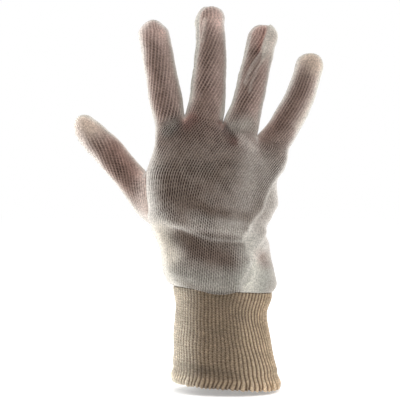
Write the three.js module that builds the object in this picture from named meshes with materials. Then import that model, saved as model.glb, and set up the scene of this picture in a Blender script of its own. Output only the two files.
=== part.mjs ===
// A cotton stockinette work glove with a ribbed knit wrist, in the form it has on a right hand
// whose back faces -Y. Millimetres, +Z towards the fingertips, +X towards the little finger.
// The origin is the centre of the wrist opening, at the hem.
import * as THREE from 'three';

// Cloth and knit
const CLOTH = 1.2; // wall of the stockinette panels
const SEAM_GAP = 0.3; // between the two panels along their seam
const CUFF_WALL = 2.8; // the rib is folded double, so its wall is two plies
const CUFF_GAP = 0.3; // between the panels' lower edge and the top of the knit wrist
const RIB_COUNT = 60;
const RIB_DEPTH = 0.9;

// Knit wrist
const WRIST_WIDTH = 67;
const WRIST_DEPTH = 47;
const CUFF_HEIGHT = 68.5;
const CUFF_TILT = 0.07; // rise per millimetre towards -X, of the hem and the wrist seam

// Hand
const HAND_WIDTH = 97; // across the bases of the four fingers
const PALM_LENGTH = 125; // wrist seam to the web of the first two fingers
const PALM_DEPTH = 46; // thickest place, over the heel of the hand
const ROUNDNESS = 2.3; // exponent of the hand's sections, where 2 is an ellipse
const WEB_RADIUS = 9; // how far below the webs the hand starts to round over
const KNUCKLE_BLEND = 24; // how far below the webs the hand starts to part into fingers
const FINGER_LENGTH = 84; // of the middle finger, from its webs to its tip
const FINGER_WIDTH = 25.4; // of the middle finger, at its root
const FINGER_FLATNESS = 0.82; // depth of a finger over its width
const THUMB_START = 0.345; // lower and upper ends of the thumb's root, as shares of the hand's side
const THUMB_END = 0.702;
const THUMB_BLEND = 0.3; // share of the hand's width over which the thumb's root swells the palm

// Mesh steps
const FINGER_COLUMNS = 6;
const FINGER_ROWS = 7;
const TIP_ROWS = 3;
const ROWS_BELOW_THUMB = 9;
const THUMB_COLUMNS = 8;
const ROWS_ABOVE_THUMB = 7;
const CUFF_ROWS = 6;
const SECTION_STEPS = 96;
const WELD = 0.001; // points closer than this are one

// Sections of the knit wrist: up is a share of its height, left and right of its width, deep of its depth.
const cuffSections = [
  { up: 0, left: -0.56, right: 0.585, deep: 0.557 },
  { up: 0.1, left: -0.566, right: 0.583, deep: 0.564 },
  { up: 0.19, left: -0.556, right: 0.562, deep: 0.553 },
  { up: 0.32, left: -0.546, right: 0.527, deep: 0.53 },
  { up: 0.52, left: -0.546, right: 0.491, deep: 0.51 },
  { up: 0.78, left: -0.526, right: 0.448, deep: 0.49 },
  { up: 1, left: -0.536, right: 0.505, deep: 0.5 },
];

// Sections of the hand: up is a share of the way from the wrist seam to the finger bases, left, right and
// both slips are shares of the hand's width, front and back of the palm's depth. A slip is how far round
// the hand each side seam has turned: the right one to the front, the left one to the back.
const handSections = [
  { up: 0.04, left: -0.43, right: 0.371, front: 0.53, back: 0.53, slipLeft: 0.31, slipRight: 0.36 },
  { up: 0.09, left: -0.458, right: 0.366, front: 0.576, back: 0.565, slipLeft: 0.29, slipRight: 0.33 },
  { up: 0.17, left: -0.47, right: 0.355, front: 0.576, back: 0.565, slipLeft: 0.24, slipRight: 0.3 },
  { up: 0.27, left: -0.493, right: 0.333, front: 0.49, back: 0.522, slipLeft: 0.17, slipRight: 0.27 },
  { up: 0.33, left: -0.525, right: 0.325, front: 0.446, back: 0.5, slipLeft: 0.13, slipRight: 0.26 },
  { up: 0.375, left: -0.543, right: 0.302, front: 0.446, back: 0.489, slipLeft: 0.11, slipRight: 0.26 },
  { up: 0.44, left: -0.557, right: 0.314, front: 0.457, back: 0.478, slipLeft: 0.1, slipRight: 0.25 },
  { up: 0.52, left: -0.58, right: 0.36, front: 0.446, back: 0.457, slipLeft: 0.095, slipRight: 0.235 },
  { up: 0.58, left: -0.59, right: 0.392, front: 0.435, back: 0.435, slipLeft: 0.09, slipRight: 0.21 },
  { up: 0.66, left: -0.587, right: 0.383, front: 0.413, back: 0.402, slipLeft: 0.08, slipRight: 0.165 },
  { up: 0.74, left: -0.565, right: 0.38, front: 0.391, back: 0.37, slipLeft: 0.065, slipRight: 0.11 },
  { up: 0.82, left: -0.53, right: 0.4, front: 0.359, back: 0.337, slipLeft: 0.035, slipRight: 0.04 },
  { up: 0.9, left: -0.518, right: 0.441, front: 0.326, back: 0.315, slipLeft: 0.01, slipRight: 0 },
  { up: 1, left: -0.518, right: 0.47, front: 0.293, back: 0.293, slipLeft: 0, slipRight: 0 },
];

// The points between which the fingers stand, left to right: across is a share of the hand's width, up of
// the palm's length.
const webs = [
  { name: 'index_side', across: -0.518, up: 0.936 },
  { name: 'index_middle', across: -0.299, up: 0.987 },
  { name: 'middle_ring', across: -0.018, up: 0.944 },
  { name: 'ring_little', across: 0.235, up: 0.875 },
  { name: 'little_side', across: 0.47, up: 0.797 },
];

// The digits. Length, bow and curl are shares of the finger length, the depth and the widths of the finger
// width, and lean and twist are degrees. Lean is from upright towards +X, bow is to the right of the
// straight line at mid length, curl is how far the tip bends to +Y, and twist is how far the cloth has
// turned round the digit at its tip.
const fingers = [
  {
    name: 'index', length: 0.899, lean: -10, bow: -0.004, curl: 0.095, twist: 12,
    rootDepth: 0.866, rootWidth: 0.945, midWidth: 0.898, tipWidth: 0.835,
  },
  {
    name: 'middle', length: 1, lean: 3.7, bow: 0.026, curl: 0.107, twist: 38,
    rootDepth: 1.024, rootWidth: 1, midWidth: 0.913, tipWidth: 0.8,
  },
  {
    name: 'ring', length: 0.946, lean: 14, bow: 0.01, curl: 0.107, twist: 30,
    rootDepth: 0.984, rootWidth: 0.913, midWidth: 0.823, tipWidth: 0.819,
  },
  {
    name: 'little', length: 0.857, lean: 25.6, bow: 0.045, curl: 0.083, twist: 14,
    rootDepth: 0.787, rootWidth: 0.866, midWidth: 0.827, tipWidth: 0.764,
  },
];
const thumb = {
  name: 'thumb', length: 0.964, lean: -42, bow: 0, curl: 0.071, twist: 12,
  rootDepth: 0.984, rootWidth: 0.906, midWidth: 0.866, tipWidth: 0.803,
};

// Folds and swellings of the worn cloth. The ends are shares of the hand's width and the palm's length,
// height and reach shares of the palm's depth. A negative height is a hollow.
const folds = [
  { name: 'wrist_ridge', side: 'front', fromX: -0.55, fromZ: 0.41, toX: 0.14, toZ: 0.345, height: 0.06, reach: 0.1 },
  { name: 'wrist_hollow', side: 'front', fromX: -0.36, fromZ: 0.31, toX: 0.12, toZ: 0.255, height: -0.06, reach: 0.17 },
  { name: 'side_fold', side: 'front', fromX: 0.17, fromZ: 0.2, toX: 0.28, toZ: 0.33, height: 0.05, reach: 0.08 },
  { name: 'ring_root', side: 'front', fromX: -0.01, fromZ: 0.93, toX: 0.18, toZ: 0.87, height: -0.04, reach: 0.1 },
  { name: 'thumb_ball', side: 'back', fromX: -0.4, fromZ: 0.36, toX: -0.2, toZ: 0.66, height: 0.14, reach: 0.42 },
  { name: 'palm_heel', side: 'back', fromX: 0.14, fromZ: 0.26, toX: 0.22, toZ: 0.58, height: 0.08, reach: 0.4 },
  { name: 'palm_hollow', side: 'back', fromX: -0.04, fromZ: 0.42, toX: 0, toZ: 0.68, height: -0.07, reach: 0.26 },
];

const { lerp, degToRad, smoothstep } = THREE.MathUtils;
const FINGER_COUNT = fingers.length;
const HAND_COLUMNS = FINGER_COLUMNS * FINGER_COUNT;

// The value of a table's column at a height, on a smooth curve through its rows.
function valueAt(rows, column, up) {
  const last = rows.length - 1;
  let i = rows.findIndex((row) => row.up >= up);
  if (i <= 0) return rows[i < 0 ? last : 0][column];
  const slope = (k) => {
    const a = rows[Math.max(k - 1, 0)];
    const b = rows[Math.min(k + 1, last)];
    return (b[column] - a[column]) / (b.up - a.up);
  };
  const [low, high] = [rows[i - 1], rows[i]];
  const span = high.up - low.up;
  const t = (up - low.up) / span;
  const t2 = t * t;
  const t3 = t2 * t;
  return (2 * t3 - 3 * t2 + 1) * low[column] + (t3 - 2 * t2 + t) * span * slope(i - 1)
    + (3 * t2 - 2 * t3) * high[column] + (t3 - t2) * span * slope(i);
}

// A closed section of the hand or wrist, walked by arc length from its leftmost point over the front.
function makeSection({ left, right, front, back }) {
  const centre = (left + right) / 2;
  const half = (right - left) / 2;
  const power = 2 / ROUNDNESS;
  const points = [];
  for (let i = 0; i <= SECTION_STEPS; i += 1) {
    const angle = (2 * Math.PI * i) / SECTION_STEPS;
    const across = -Math.sign(Math.cos(angle)) * Math.abs(Math.cos(angle)) ** power;
    const deep = Math.sign(Math.sin(angle)) * Math.abs(Math.sin(angle)) ** power;
    points.push(new THREE.Vector2(centre + half * across, -deep * (deep > 0 ? front : back)));
  }
  const lengths = [0];
  for (let i = 1; i < points.length; i += 1) {
    lengths.push(lengths[i - 1] + points[i].distanceTo(points[i - 1]));
  }
  const total = lengths[SECTION_STEPS];
  const pointAt = (arc) => {
    const wanted = ((arc % total) + total) % total;
    const i = Math.min(Math.max(lengths.findIndex((length) => length > wanted), 1), SECTION_STEPS);
    const share = (wanted - lengths[i - 1]) / (lengths[i] - lengths[i - 1]);
    return points[i - 1].clone().lerp(points[i], share);
  };
  const outwardAt = (arc) => {
    const step = total / SECTION_STEPS;
    const along = pointAt(arc + step).sub(pointAt(arc - step)).normalize();
    return new THREE.Vector2(along.y, -along.x);
  };
  return { pointAt, outwardAt, total, frontLength: lengths[SECTION_STEPS / 2] };
}

function cuffSizes(up) {
  const deep = valueAt(cuffSections, 'deep', up) * WRIST_DEPTH;
  return {
    left: valueAt(cuffSections, 'left', up) * WRIST_WIDTH,
    right: valueAt(cuffSections, 'right', up) * WRIST_WIDTH,
    front: deep,
    back: deep,
  };
}

// The hand's section at a height. Its lowest one is the top of the knit wrist.
function handSection(up) {
  const first = handSections[0];
  const rise = Math.min(up / first.up, 1);
  const wrist = cuffSizes(1);
  const width = (column) => valueAt(handSections, column, up) * HAND_WIDTH;
  const depth = (column) => valueAt(handSections, column, up) * PALM_DEPTH;
  const section = makeSection({
    left: lerp(wrist.left, width('left'), rise),
    right: lerp(wrist.right, width('right'), rise),
    front: lerp(wrist.front, depth('front'), rise),
    back: lerp(wrist.back, depth('back'), rise),
  });
  return { ...section, slipLeft: width('slipLeft'), slipRight: width('slipRight') };
}

function webPoint(web) {
  return new THREE.Vector3(web.across * HAND_WIDTH, 0, CUFF_HEIGHT + CUFF_GAP + web.up * PALM_LENGTH);
}

// A digit's row of the table with its shares turned to millimetres.
function digitSizes(row) {
  const sizes = { ...row };
  for (const column of ['length', 'bow', 'curl']) sizes[column] *= FINGER_LENGTH;
  for (const column of ['rootDepth', 'rootWidth', 'midWidth', 'tipWidth']) sizes[column] *= FINGER_WIDTH;
  return sizes;
}

// The frame of a digit: its root runs from one seam point to another, and its middle line goes to its tip.
function makeDigit(row, rootLeft, rootRight) {
  const size = digitSizes(row);
  const root = rootLeft.clone().add(rootRight).multiplyScalar(0.5);
  const lean = degToRad(size.lean);
  const along = new THREE.Vector3(Math.sin(lean), 0, Math.cos(lean));
  const across = new THREE.Vector3(Math.cos(lean), 0, -Math.sin(lean));
  const rootHalf = rootRight.clone().sub(rootLeft).multiplyScalar(0.5);
  return { size, root, along, across, rootHalf, straight: size.length - size.tipWidth / 2 };
}

// Half width of a digit, from its own table of three widths.
function halfWidth(size, share) {
  const { rootWidth, midWidth, tipWidth } = size;
  const width = share < 0.5
    ? lerp(rootWidth, midWidth, smoothstep(share, 0.15, 0.6))
    : lerp(midWidth, tipWidth, smoothstep(share, 0.6, 1));
  return (share < 0.5 ? width : Math.min(width, midWidth)) / 2;
}

// A point of a digit. Share runs from its root, at 0, to where the tip rounds off, at 1, and unit holds a
// point of the unit ring or cap: x across, y to the back and z past the end of the straight part.
function digitPoint(digit, share, unit) {
  const { size, root, along, across, rootHalf, straight } = digit;
  const out = share * straight;
  const settle = smoothstep(share, 0, 0.3);
  const half = halfWidth(size, share);
  const depth = lerp(size.rootDepth / 2, half * FINGER_FLATNESS, settle);
  const sideways = rootHalf.clone().lerp(across.clone().multiplyScalar(half), settle);
  const turn = degToRad(size.twist) * share;
  const x = unit.x * Math.cos(turn) - unit.y * Math.sin(turn);
  const y = unit.x * Math.sin(turn) + unit.y * Math.cos(turn);
  const bow = size.bow * Math.sin(Math.PI * share);
  return root.clone()
    .addScaledVector(along, out + unit.z * (size.tipWidth / 2))
    .addScaledVector(across, bow)
    .addScaledVector(sideways, x)
    .add(new THREE.Vector3(0, y * depth + size.curl * share * share, 0));
}

// The front or back half of a digit's ring, left to right.
function ringUnit(side, angle) {
  return new THREE.Vector3(Math.sin(angle), side * Math.cos(angle), 0);
}

// The rounded tip, as a quarter of a unit ball. Columns keep to their place across it and end on the seam
// over the tip, as the cut panel does, and the seam's two corners lie part of the way up.
const TIP_CORNER = degToRad(40);
function tipUnit(side, angle, share) {
  const corner = TIP_CORNER * share;
  const x = Math.cos(corner) * Math.sin(angle);
  const radius = Math.sqrt(Math.max(1 - x * x, 0));
  const least = Math.sin(corner);
  const middle = (Math.PI / 2) * share;
  const turn = middle + (Math.PI / 2 - middle) * (radius > 1e-9 ? Math.min(least / radius, 1) : 0);
  return new THREE.Vector3(x, side * radius * Math.cos(turn), radius * Math.sin(turn));
}

const digits = fingers.map((row, i) => makeDigit(row, webPoint(webs[i]), webPoint(webs[i + 1])));

// Height of the finger bases over a column of the hand.
function baseHeight(column) {
  const place = column * FINGER_COUNT;
  const i = Math.min(Math.floor(place), FINGER_COUNT - 1);
  return lerp(webPoint(webs[i]).z, webPoint(webs[i + 1]).z, place - i);
}

// How far the folds lift the cloth at a place seen from the front. Facing is the cloth's outward Y there.
function foldLift(facing, x, z) {
  return folds.reduce((sum, fold) => {
    const seen = smoothstep(fold.side === 'front' ? -facing : facing, 0, 0.6);
    const from = new THREE.Vector2(fold.fromX * HAND_WIDTH, fold.fromZ * PALM_LENGTH);
    const to = new THREE.Vector2(fold.toX * HAND_WIDTH, fold.toZ * PALM_LENGTH);
    const place = new THREE.Vector2(x, z - CUFF_HEIGHT);
    const line = to.clone().sub(from);
    const share = THREE.MathUtils.clamp(place.clone().sub(from).dot(line) / line.lengthSq(), 0, 1);
    const away = place.distanceTo(from.addScaledVector(line, share)) / (fold.reach * PALM_DEPTH);
    return sum + seen * fold.height * PALM_DEPTH * Math.exp(-away * away);
  }, 0);
}

// A point of the hand below the fingers, before the thumb is set in. Column runs from the left seam to the
// right one and up from the wrist seam to the finger bases.
function bareHandPoint(side, column, up) {
  const section = handSection(up);
  const start = -section.slipLeft;
  const frontArc = section.frontLength - section.slipRight - start;
  const arc = side < 0 ? start + frontArc * column : start - (section.total - frontArc) * column;
  const place = section.pointAt(arc);
  const low = CUFF_HEIGHT + CUFF_GAP - CUFF_TILT * place.x;
  const z = lerp(low, baseHeight(column), up);
  const fade = smoothstep(up, 0, 0.1) * (1 - smoothstep(up, 0.9, 1));
  const outward = section.outwardAt(arc);
  place.addScaledVector(outward, foldLift(outward.y, place.x, z) * fade);
  const point = new THREE.Vector3(place.x, place.y, z);
  const below = (1 - up) * PALM_LENGTH;
  if (below >= KNUCKLE_BLEND) return point;
  const i = Math.min(Math.floor(column * FINGER_COUNT), FINGER_COUNT - 1);
  const angle = (column * FINGER_COUNT - i - 0.5) * Math.PI;
  const { root, rootHalf, size } = digits[i];
  const base = root.clone().addScaledVector(rootHalf, Math.sin(angle));
  const share = 1 - smoothstep(below, 0, KNUCKLE_BLEND);
  const near = Math.max(1 - below / WEB_RADIUS, 0);
  const outerSide = (i === 0 && angle < 0) || (i === FINGER_COUNT - 1 && angle > 0);
  const valley = outerSide ? 1 : Math.sqrt(1 - (near * Math.sin(angle)) ** 2);
  const deep = ((side * size.rootDepth) / 2) * (outerSide ? Math.cos(angle) : 1);
  return new THREE.Vector3(
    lerp(point.x, base.x, share),
    lerp(point.y, deep, share) * valley,
    z + share * (base.z - baseHeight(column)),
  );
}

const thumbDigit = makeDigit(thumb, bareHandPoint(-1, 0, THUMB_START), bareHandPoint(-1, 0, THUMB_END));

// A point of the hand with the thumb's root set into its left side. The two depths from the seam join as
// the sides of a right angle do, which keeps both forms round.
function handPoint(side, column, up) {
  const point = bareHandPoint(side, column, up);
  const place = (up - THUMB_START) / (THUMB_END - THUMB_START);
  if (place < 0 || place > 1 || column >= THUMB_BLEND) return point;
  const seam = bareHandPoint(side, 0, up);
  const root = digitPoint(thumbDigit, 0, ringUnit(side, Math.asin(2 * place - 1)));
  const share = 1 - smoothstep(column, 0, THUMB_BLEND);
  const middle = thumbDigit.root.y + thumbDigit.rootHalf.y * (2 * place - 1);
  const line = lerp(seam.y, middle, share);
  const deep = Math.hypot(Math.max(side * (point.y - seam.y), 0), (root.y - middle) * share);
  return new THREE.Vector3(
    point.x + (root.x - seam.x) * share,
    line + side * deep,
    point.z + (root.z - seam.z) * share,
  );
}

// The skin of the hand: grids of points, with like points welded and each face kept by its panel.
function makeSkin() {
  const points = [];
  const faces = { front: [], back: [] };
  const add = (point) => {
    const found = points.findIndex((other) => other.distanceTo(point) < WELD);
    return found < 0 ? points.push(point) - 1 : found;
  };
  const addGrid = (side, columns, rows, pointAt) => {
    const grid = rows.map((row) => columns.map((column) => add(pointAt(column, row))));
    for (let r = 0; r + 1 < rows.length; r += 1) {
      for (let c = 0; c + 1 < columns.length; c += 1) {
        const [a, b, d, e] = [grid[r][c], grid[r][c + 1], grid[r + 1][c + 1], grid[r + 1][c]];
        const leftHalf = c < (columns.length - 1) / 2;
        const pair = leftHalf ? [[a, b, e], [b, d, e]] : [[a, b, d], [a, d, e]];
        if (side < 0) faces.front.push(...pair);
        else faces.back.push(...pair.map(([i, j, k]) => [i, k, j]));
      }
    }
  };
  return { points, faces, addGrid };
}

const steps = (count) => Array.from({ length: count + 1 }, (_, i) => i / count);

function addDigit(skin, digit, side, columns, angleAt) {
  skin.addGrid(side, columns, steps(FINGER_ROWS), (column, share) => (
    digitPoint(digit, share, ringUnit(side, angleAt(column, share)))
  ));
  skin.addGrid(side, columns, steps(TIP_ROWS), (column, share) => (
    digitPoint(digit, 1, tipUnit(side, angleAt(column, 1), share))
  ));
}

function buildSkin() {
  const skin = makeSkin();
  const low = steps(ROWS_BELOW_THUMB).map((t) => t ** 1.25 * THUMB_START);
  const middle = steps(THUMB_COLUMNS).slice(1).map((t) => lerp(THUMB_START, THUMB_END, t));
  const high = steps(ROWS_ABOVE_THUMB).slice(1).map((t) => lerp(THUMB_END, 1, 1 - (1 - t) ** 1.8));
  const even = (column) => (column - 0.5) * Math.PI;
  for (const side of [-1, 1]) {
    skin.addGrid(side, steps(HAND_COLUMNS), [...low, ...middle, ...high], (c, up) => handPoint(side, c, up));
    digits.forEach((digit) => addDigit(skin, digit, side, steps(FINGER_COLUMNS), even));
    addDigit(skin, thumbDigit, side, steps(THUMB_COLUMNS), (column, share) => (
      lerp(Math.asin(2 * column - 1), even(column), smoothstep(share, 0, 0.4))
    ));
  }
  return skin;
}

function geometryOf(points, triangles) {
  const geometry = new THREE.BufferGeometry();
  geometry.setAttribute('position', new THREE.Float32BufferAttribute(points.flatMap((p) => p.toArray()), 3));
  geometry.setIndex(triangles.flat());
  geometry.computeVertexNormals();
  return geometry;
}

// The edges that only one of the faces has, each in the direction that keeps the faces on its left.
function openEdges(faces) {
  const edges = new Map();
  for (const [a, b, c] of faces) {
    for (const [i, k] of [[a, b], [b, c], [c, a]]) {
      if (!edges.delete(`${k},${i}`)) edges.set(`${i},${k}`, [i, k]);
    }
  }
  return [...edges.values()];
}

// One panel as a closed wall: the skin, the same skin moved in by the cloth, and a strip round the edge.
// Its seam edge stands back from the other panel by half of the gap.
function panelGeometry(skin, name) {
  const other = name === 'front' ? 'back' : 'front';
  const normals = geometryOf(skin.points, [...skin.faces.front, ...skin.faces.back]).attributes.normal;
  const normalAt = (i) => new THREE.Vector3().fromBufferAttribute(normals, i);
  const edges = openEdges(skin.faces[name]);
  const shared = new Set(skin.faces[other].flat());
  const seamWay = new Map();
  for (const [i, k] of edges.filter((edge) => edge.every((end) => shared.has(end)))) {
    const way = skin.points[k].clone().sub(skin.points[i]).normalize();
    for (const end of [i, k]) seamWay.set(end, way.clone().add(seamWay.get(end) ?? new THREE.Vector3()));
  }
  const outer = skin.points.map((point, i) => {
    if (!seamWay.has(i)) return point.clone();
    return point.clone().addScaledVector(normalAt(i).cross(seamWay.get(i)).normalize(), SEAM_GAP / 2);
  });
  const inner = outer.map((point, i) => point.clone().addScaledVector(normalAt(i), -CLOTH));
  const count = outer.length;
  const triangles = skin.faces[name].flatMap(([a, b, c]) => [[a, b, c], [count + a, count + c, count + b]]);
  for (const [i, k] of edges) {
    if (i < k) triangles.push([k, i, count + i], [k, count + i, count + k]);
    else triangles.push([k, i, count + k], [i, count + i, count + k]);
  }
  return geometryOf([...outer, ...inner], triangles);
}

// The ribbed cuff: one ring of points for each step of a profile that goes up the outside, over the top
// edge, down the inside and round the folded hem.
function cuffGeometry() {
  const foldDrop = CUFF_WALL * 0.45;
  const levels = steps(CUFF_ROWS);
  const wall = (inset, ribs) => (share) => ({
    inset, ribs, height: lerp(foldDrop, CUFF_HEIGHT, share),
  });
  const profile = [
    { inset: CUFF_WALL / 2, ribs: 0.4, height: 0 },
    ...levels.map(wall(0, 1)),
    ...levels.map(wall(CUFF_WALL, -1)).reverse(),
  ];
  const around = RIB_COUNT * 2;
  const points = [];
  const triangles = [];
  profile.forEach(({ inset, ribs, height }, row) => {
    const section = makeSection(cuffSizes(height / CUFF_HEIGHT));
    for (let i = 0; i < around; i += 1) {
      const arc = (section.total * i) / around;
      const valley = i % 2 ? RIB_DEPTH : 0;
      const place = section.pointAt(arc).addScaledVector(section.outwardAt(arc), -inset - ribs * valley);
      points.push(new THREE.Vector3(place.x, place.y, height - CUFF_TILT * place.x));
      const next = (row + 1) % profile.length;
      const [a, b] = [row * around + i, row * around + ((i + 1) % around)];
      const [c, d] = [next * around + i, next * around + ((i + 1) % around)];
      triangles.push([a, b, d], [a, d, c]);
    }
  });
  return geometryOf(points, triangles);
}

const bleachedCotton = new THREE.MeshStandardMaterial({ color: 0xd9d2c7, roughness: 0.95, metalness: 0 });
const naturalCotton = new THREE.MeshStandardMaterial({ color: 0xc9b490, roughness: 0.95, metalness: 0 });

function named(name, geometry, material) {
  const mesh = new THREE.Mesh(geometry, material);
  mesh.name = name;
  return mesh;
}

const skin = buildSkin();
const glove = new THREE.Group();
glove.name = 'cotton_work_glove';
glove.add(
  named('front_panel', panelGeometry(skin, 'front'), bleachedCotton),
  named('back_panel', panelGeometry(skin, 'back'), bleachedCotton),
  named('knit_wrist', cuffGeometry(), naturalCotton),
);

export default glove;
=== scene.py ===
import math
from collections import namedtuple
from functools import lru_cache
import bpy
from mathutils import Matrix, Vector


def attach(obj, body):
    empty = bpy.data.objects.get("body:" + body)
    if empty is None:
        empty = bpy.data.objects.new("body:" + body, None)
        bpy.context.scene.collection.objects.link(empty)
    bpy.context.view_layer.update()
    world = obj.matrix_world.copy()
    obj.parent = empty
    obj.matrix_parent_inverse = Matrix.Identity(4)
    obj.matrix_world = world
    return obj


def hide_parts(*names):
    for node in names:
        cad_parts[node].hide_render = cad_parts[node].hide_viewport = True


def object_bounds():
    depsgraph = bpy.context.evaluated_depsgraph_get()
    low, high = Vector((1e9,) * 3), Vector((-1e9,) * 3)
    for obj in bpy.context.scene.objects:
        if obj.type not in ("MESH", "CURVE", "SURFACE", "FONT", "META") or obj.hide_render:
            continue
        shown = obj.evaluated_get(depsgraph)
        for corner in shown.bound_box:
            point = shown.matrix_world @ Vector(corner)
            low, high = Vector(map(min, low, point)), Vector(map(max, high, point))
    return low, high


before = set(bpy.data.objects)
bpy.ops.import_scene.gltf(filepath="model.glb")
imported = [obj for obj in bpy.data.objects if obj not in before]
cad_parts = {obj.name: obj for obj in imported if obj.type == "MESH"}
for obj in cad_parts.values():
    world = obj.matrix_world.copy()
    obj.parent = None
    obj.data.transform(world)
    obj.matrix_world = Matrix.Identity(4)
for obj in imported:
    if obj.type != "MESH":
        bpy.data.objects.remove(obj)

from types import SimpleNamespace

import bpy
import numpy as np
from mathutils import Vector, kdtree

bl_info = {
    "name": "Cotton Work Glove",
    "version": (1, 0, 0),
    "blender": (4, 5, 0),
    "location": "View3D > Sidebar > Glove",
    "description": "Makes a stockinette work glove with a ribbed knit wrist",
    "category": "Mesh",
}

CAD_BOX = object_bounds()
MM = 0.001  # the tables and sizes below are in millimetres, and the meshes in metres

# Cloth and knit wrist, as the frame has them
CLOTH = 1.2
CUFF_WALL = 2.8
CUFF_GAP = 0.3
WRIST_WIDTH = 67
WRIST_DEPTH = 47
CUFF_HEIGHT = 68.5
CUFF_TILT = 0.07

# The broad part of the glove below its fingers, called its hand here, as the frame has it
HAND_WIDTH = 97
PALM_LENGTH = 125
PALM_DEPTH = 46
ROUNDNESS = 2.3
WEB_RADIUS = 9
KNUCKLE_BLEND = 24
FINGER_LENGTH = 84
FINGER_WIDTH = 25.4
FINGER_FLATNESS = 0.82
THUMB_START = 0.345
THUMB_END = 0.702
THUMB_BLEND = 0.3
TIP_CORNER = math.radians(40)

# Mesh steps. Those of a grid are multiples of INNER_STEP, the steps outside for each one inside.
INNER_STEP = 4
DRAFT = 1
FINGER_COLUMNS = 64 // DRAFT
FINGER_ROWS = 88 // DRAFT
TIP_ROWS = 16 // DRAFT
ROWS_BELOW_THUMB = 48 // DRAFT
THUMB_COLUMNS = 64 // DRAFT
ROWS_ABOVE_THUMB = 32 // DRAFT
SECTION_STEPS = 768
TABLE_STEPS = 400
CROWD_STEPS = 720
FAR = 99  # further than any distance between points that is asked for
TINY = 1e-12
WAVES = 9  # in one layer of wrinkles
EASE_ROUNDS = 30  # of evening out the cloth at the roots of the digits
FULL_TURN = 2 * math.pi


def table(columns, *rows):
    """A short table as one array for each named column."""
    return {name: np.array(values, float) for name, values in zip(columns.split(), zip(*rows))}


# Sections of the knit wrist, as shares of its height, width and depth.
CUFF_SECTIONS = table(
    "up left right deep",
    (0, -0.56, 0.585, 0.557),
    (0.1, -0.566, 0.583, 0.564),
    (0.19, -0.556, 0.562, 0.553),
    (0.32, -0.546, 0.527, 0.53),
    (0.52, -0.546, 0.491, 0.51),
    (0.78, -0.526, 0.448, 0.49),
    (1, -0.536, 0.505, 0.5),
)

# Sections of the hand, as shares of the way to the finger bases, the hand's width and the palm's depth.
HAND_SECTIONS = table(
    "up left right front back slip_left slip_right",
    (0.04, -0.43, 0.371, 0.53, 0.53, 0.31, 0.36),
    (0.09, -0.458, 0.366, 0.576, 0.565, 0.29, 0.33),
    (0.17, -0.47, 0.355, 0.576, 0.565, 0.24, 0.3),
    (0.27, -0.493, 0.333, 0.49, 0.522, 0.17, 0.27),
    (0.33, -0.525, 0.325, 0.446, 0.5, 0.13, 0.26),
    (0.375, -0.543, 0.302, 0.446, 0.489, 0.11, 0.26),
    (0.44, -0.557, 0.314, 0.457, 0.478, 0.1, 0.25),
    (0.52, -0.58, 0.36, 0.446, 0.457, 0.095, 0.235),
    (0.58, -0.59, 0.392, 0.435, 0.435, 0.09, 0.21),
    (0.66, -0.587, 0.383, 0.413, 0.402, 0.08, 0.165),
    (0.74, -0.565, 0.38, 0.391, 0.37, 0.065, 0.11),
    (0.82, -0.53, 0.4, 0.359, 0.337, 0.035, 0.04),
    (0.9, -0.518, 0.441, 0.326, 0.315, 0.01, 0),
    (1, -0.518, 0.47, 0.293, 0.293, 0, 0),
)

# The points between which the fingers stand, left to right, as shares of the hand's width and palm's length.
WEBS = table("across up", (-0.518, 0.936), (-0.299, 0.987), (-0.018, 0.944), (0.235, 0.875), (0.47, 0.797))

# The digits: index, middle, ring, little and thumb. Lengths are shares of the finger length or width.
# Slant_low and slant_high are how far the wales lean from the digit's own axis at its root and its tip, pitch
# is how far apart they are, in millimetres, and the last column how dark the cloth right of its middle looks:
# partly thin cloth and partly painted shade, as the light falls from the left.
DIGITS = table(
    "length lean bow curl twist root_depth root_width mid_width tip_width slant_low slant_high pitch thinned",
    (0.899, -10, -0.004, 0.095, 12, 0.866, 0.945, 0.898, 0.835, 21, 9, 2.4, 0.72),
    (1, 3.7, 0.026, 0.107, 38, 1.024, 1, 0.913, 0.8, 20, 18, 2.55, 0.72),
    (0.946, 14, 0.01, 0.107, 30, 0.984, 0.913, 0.823, 0.819, 12, 18, 2.35, 0.576),
    (0.857, 25.6, 0.045, 0.083, 14, 0.787, 0.866, 0.827, 0.764, 4, 1, 2, 0.252),
    (0.964, -42, 0, 0.071, 12, 0.984, 0.906, 0.866, 0.803, 42, 13, 2.4, 0.72),
)
THUMB = 4

# Folds and swellings that the frame's panels have too. Side -1 is the front. X is a share of the hand's
# width, z of the palm's length, and height and reach are shares of its depth.
FRAME_FOLDS = table(
    "side from_x from_z to_x to_z height reach",
    (-1, -0.55, 0.41, 0.14, 0.345, 0.06, 0.1),
    (-1, -0.36, 0.31, 0.12, 0.255, -0.06, 0.17),
    (-1, 0.17, 0.2, 0.28, 0.33, 0.05, 0.08),
    (-1, -0.01, 0.93, 0.18, 0.87, -0.04, 0.1),
    (1, -0.4, 0.36, -0.2, 0.66, 0.14, 0.42),
    (1, 0.14, 0.26, 0.22, 0.58, 0.08, 0.4),
    (1, -0.04, 0.42, 0, 0.68, -0.07, 0.26),
)

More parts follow.
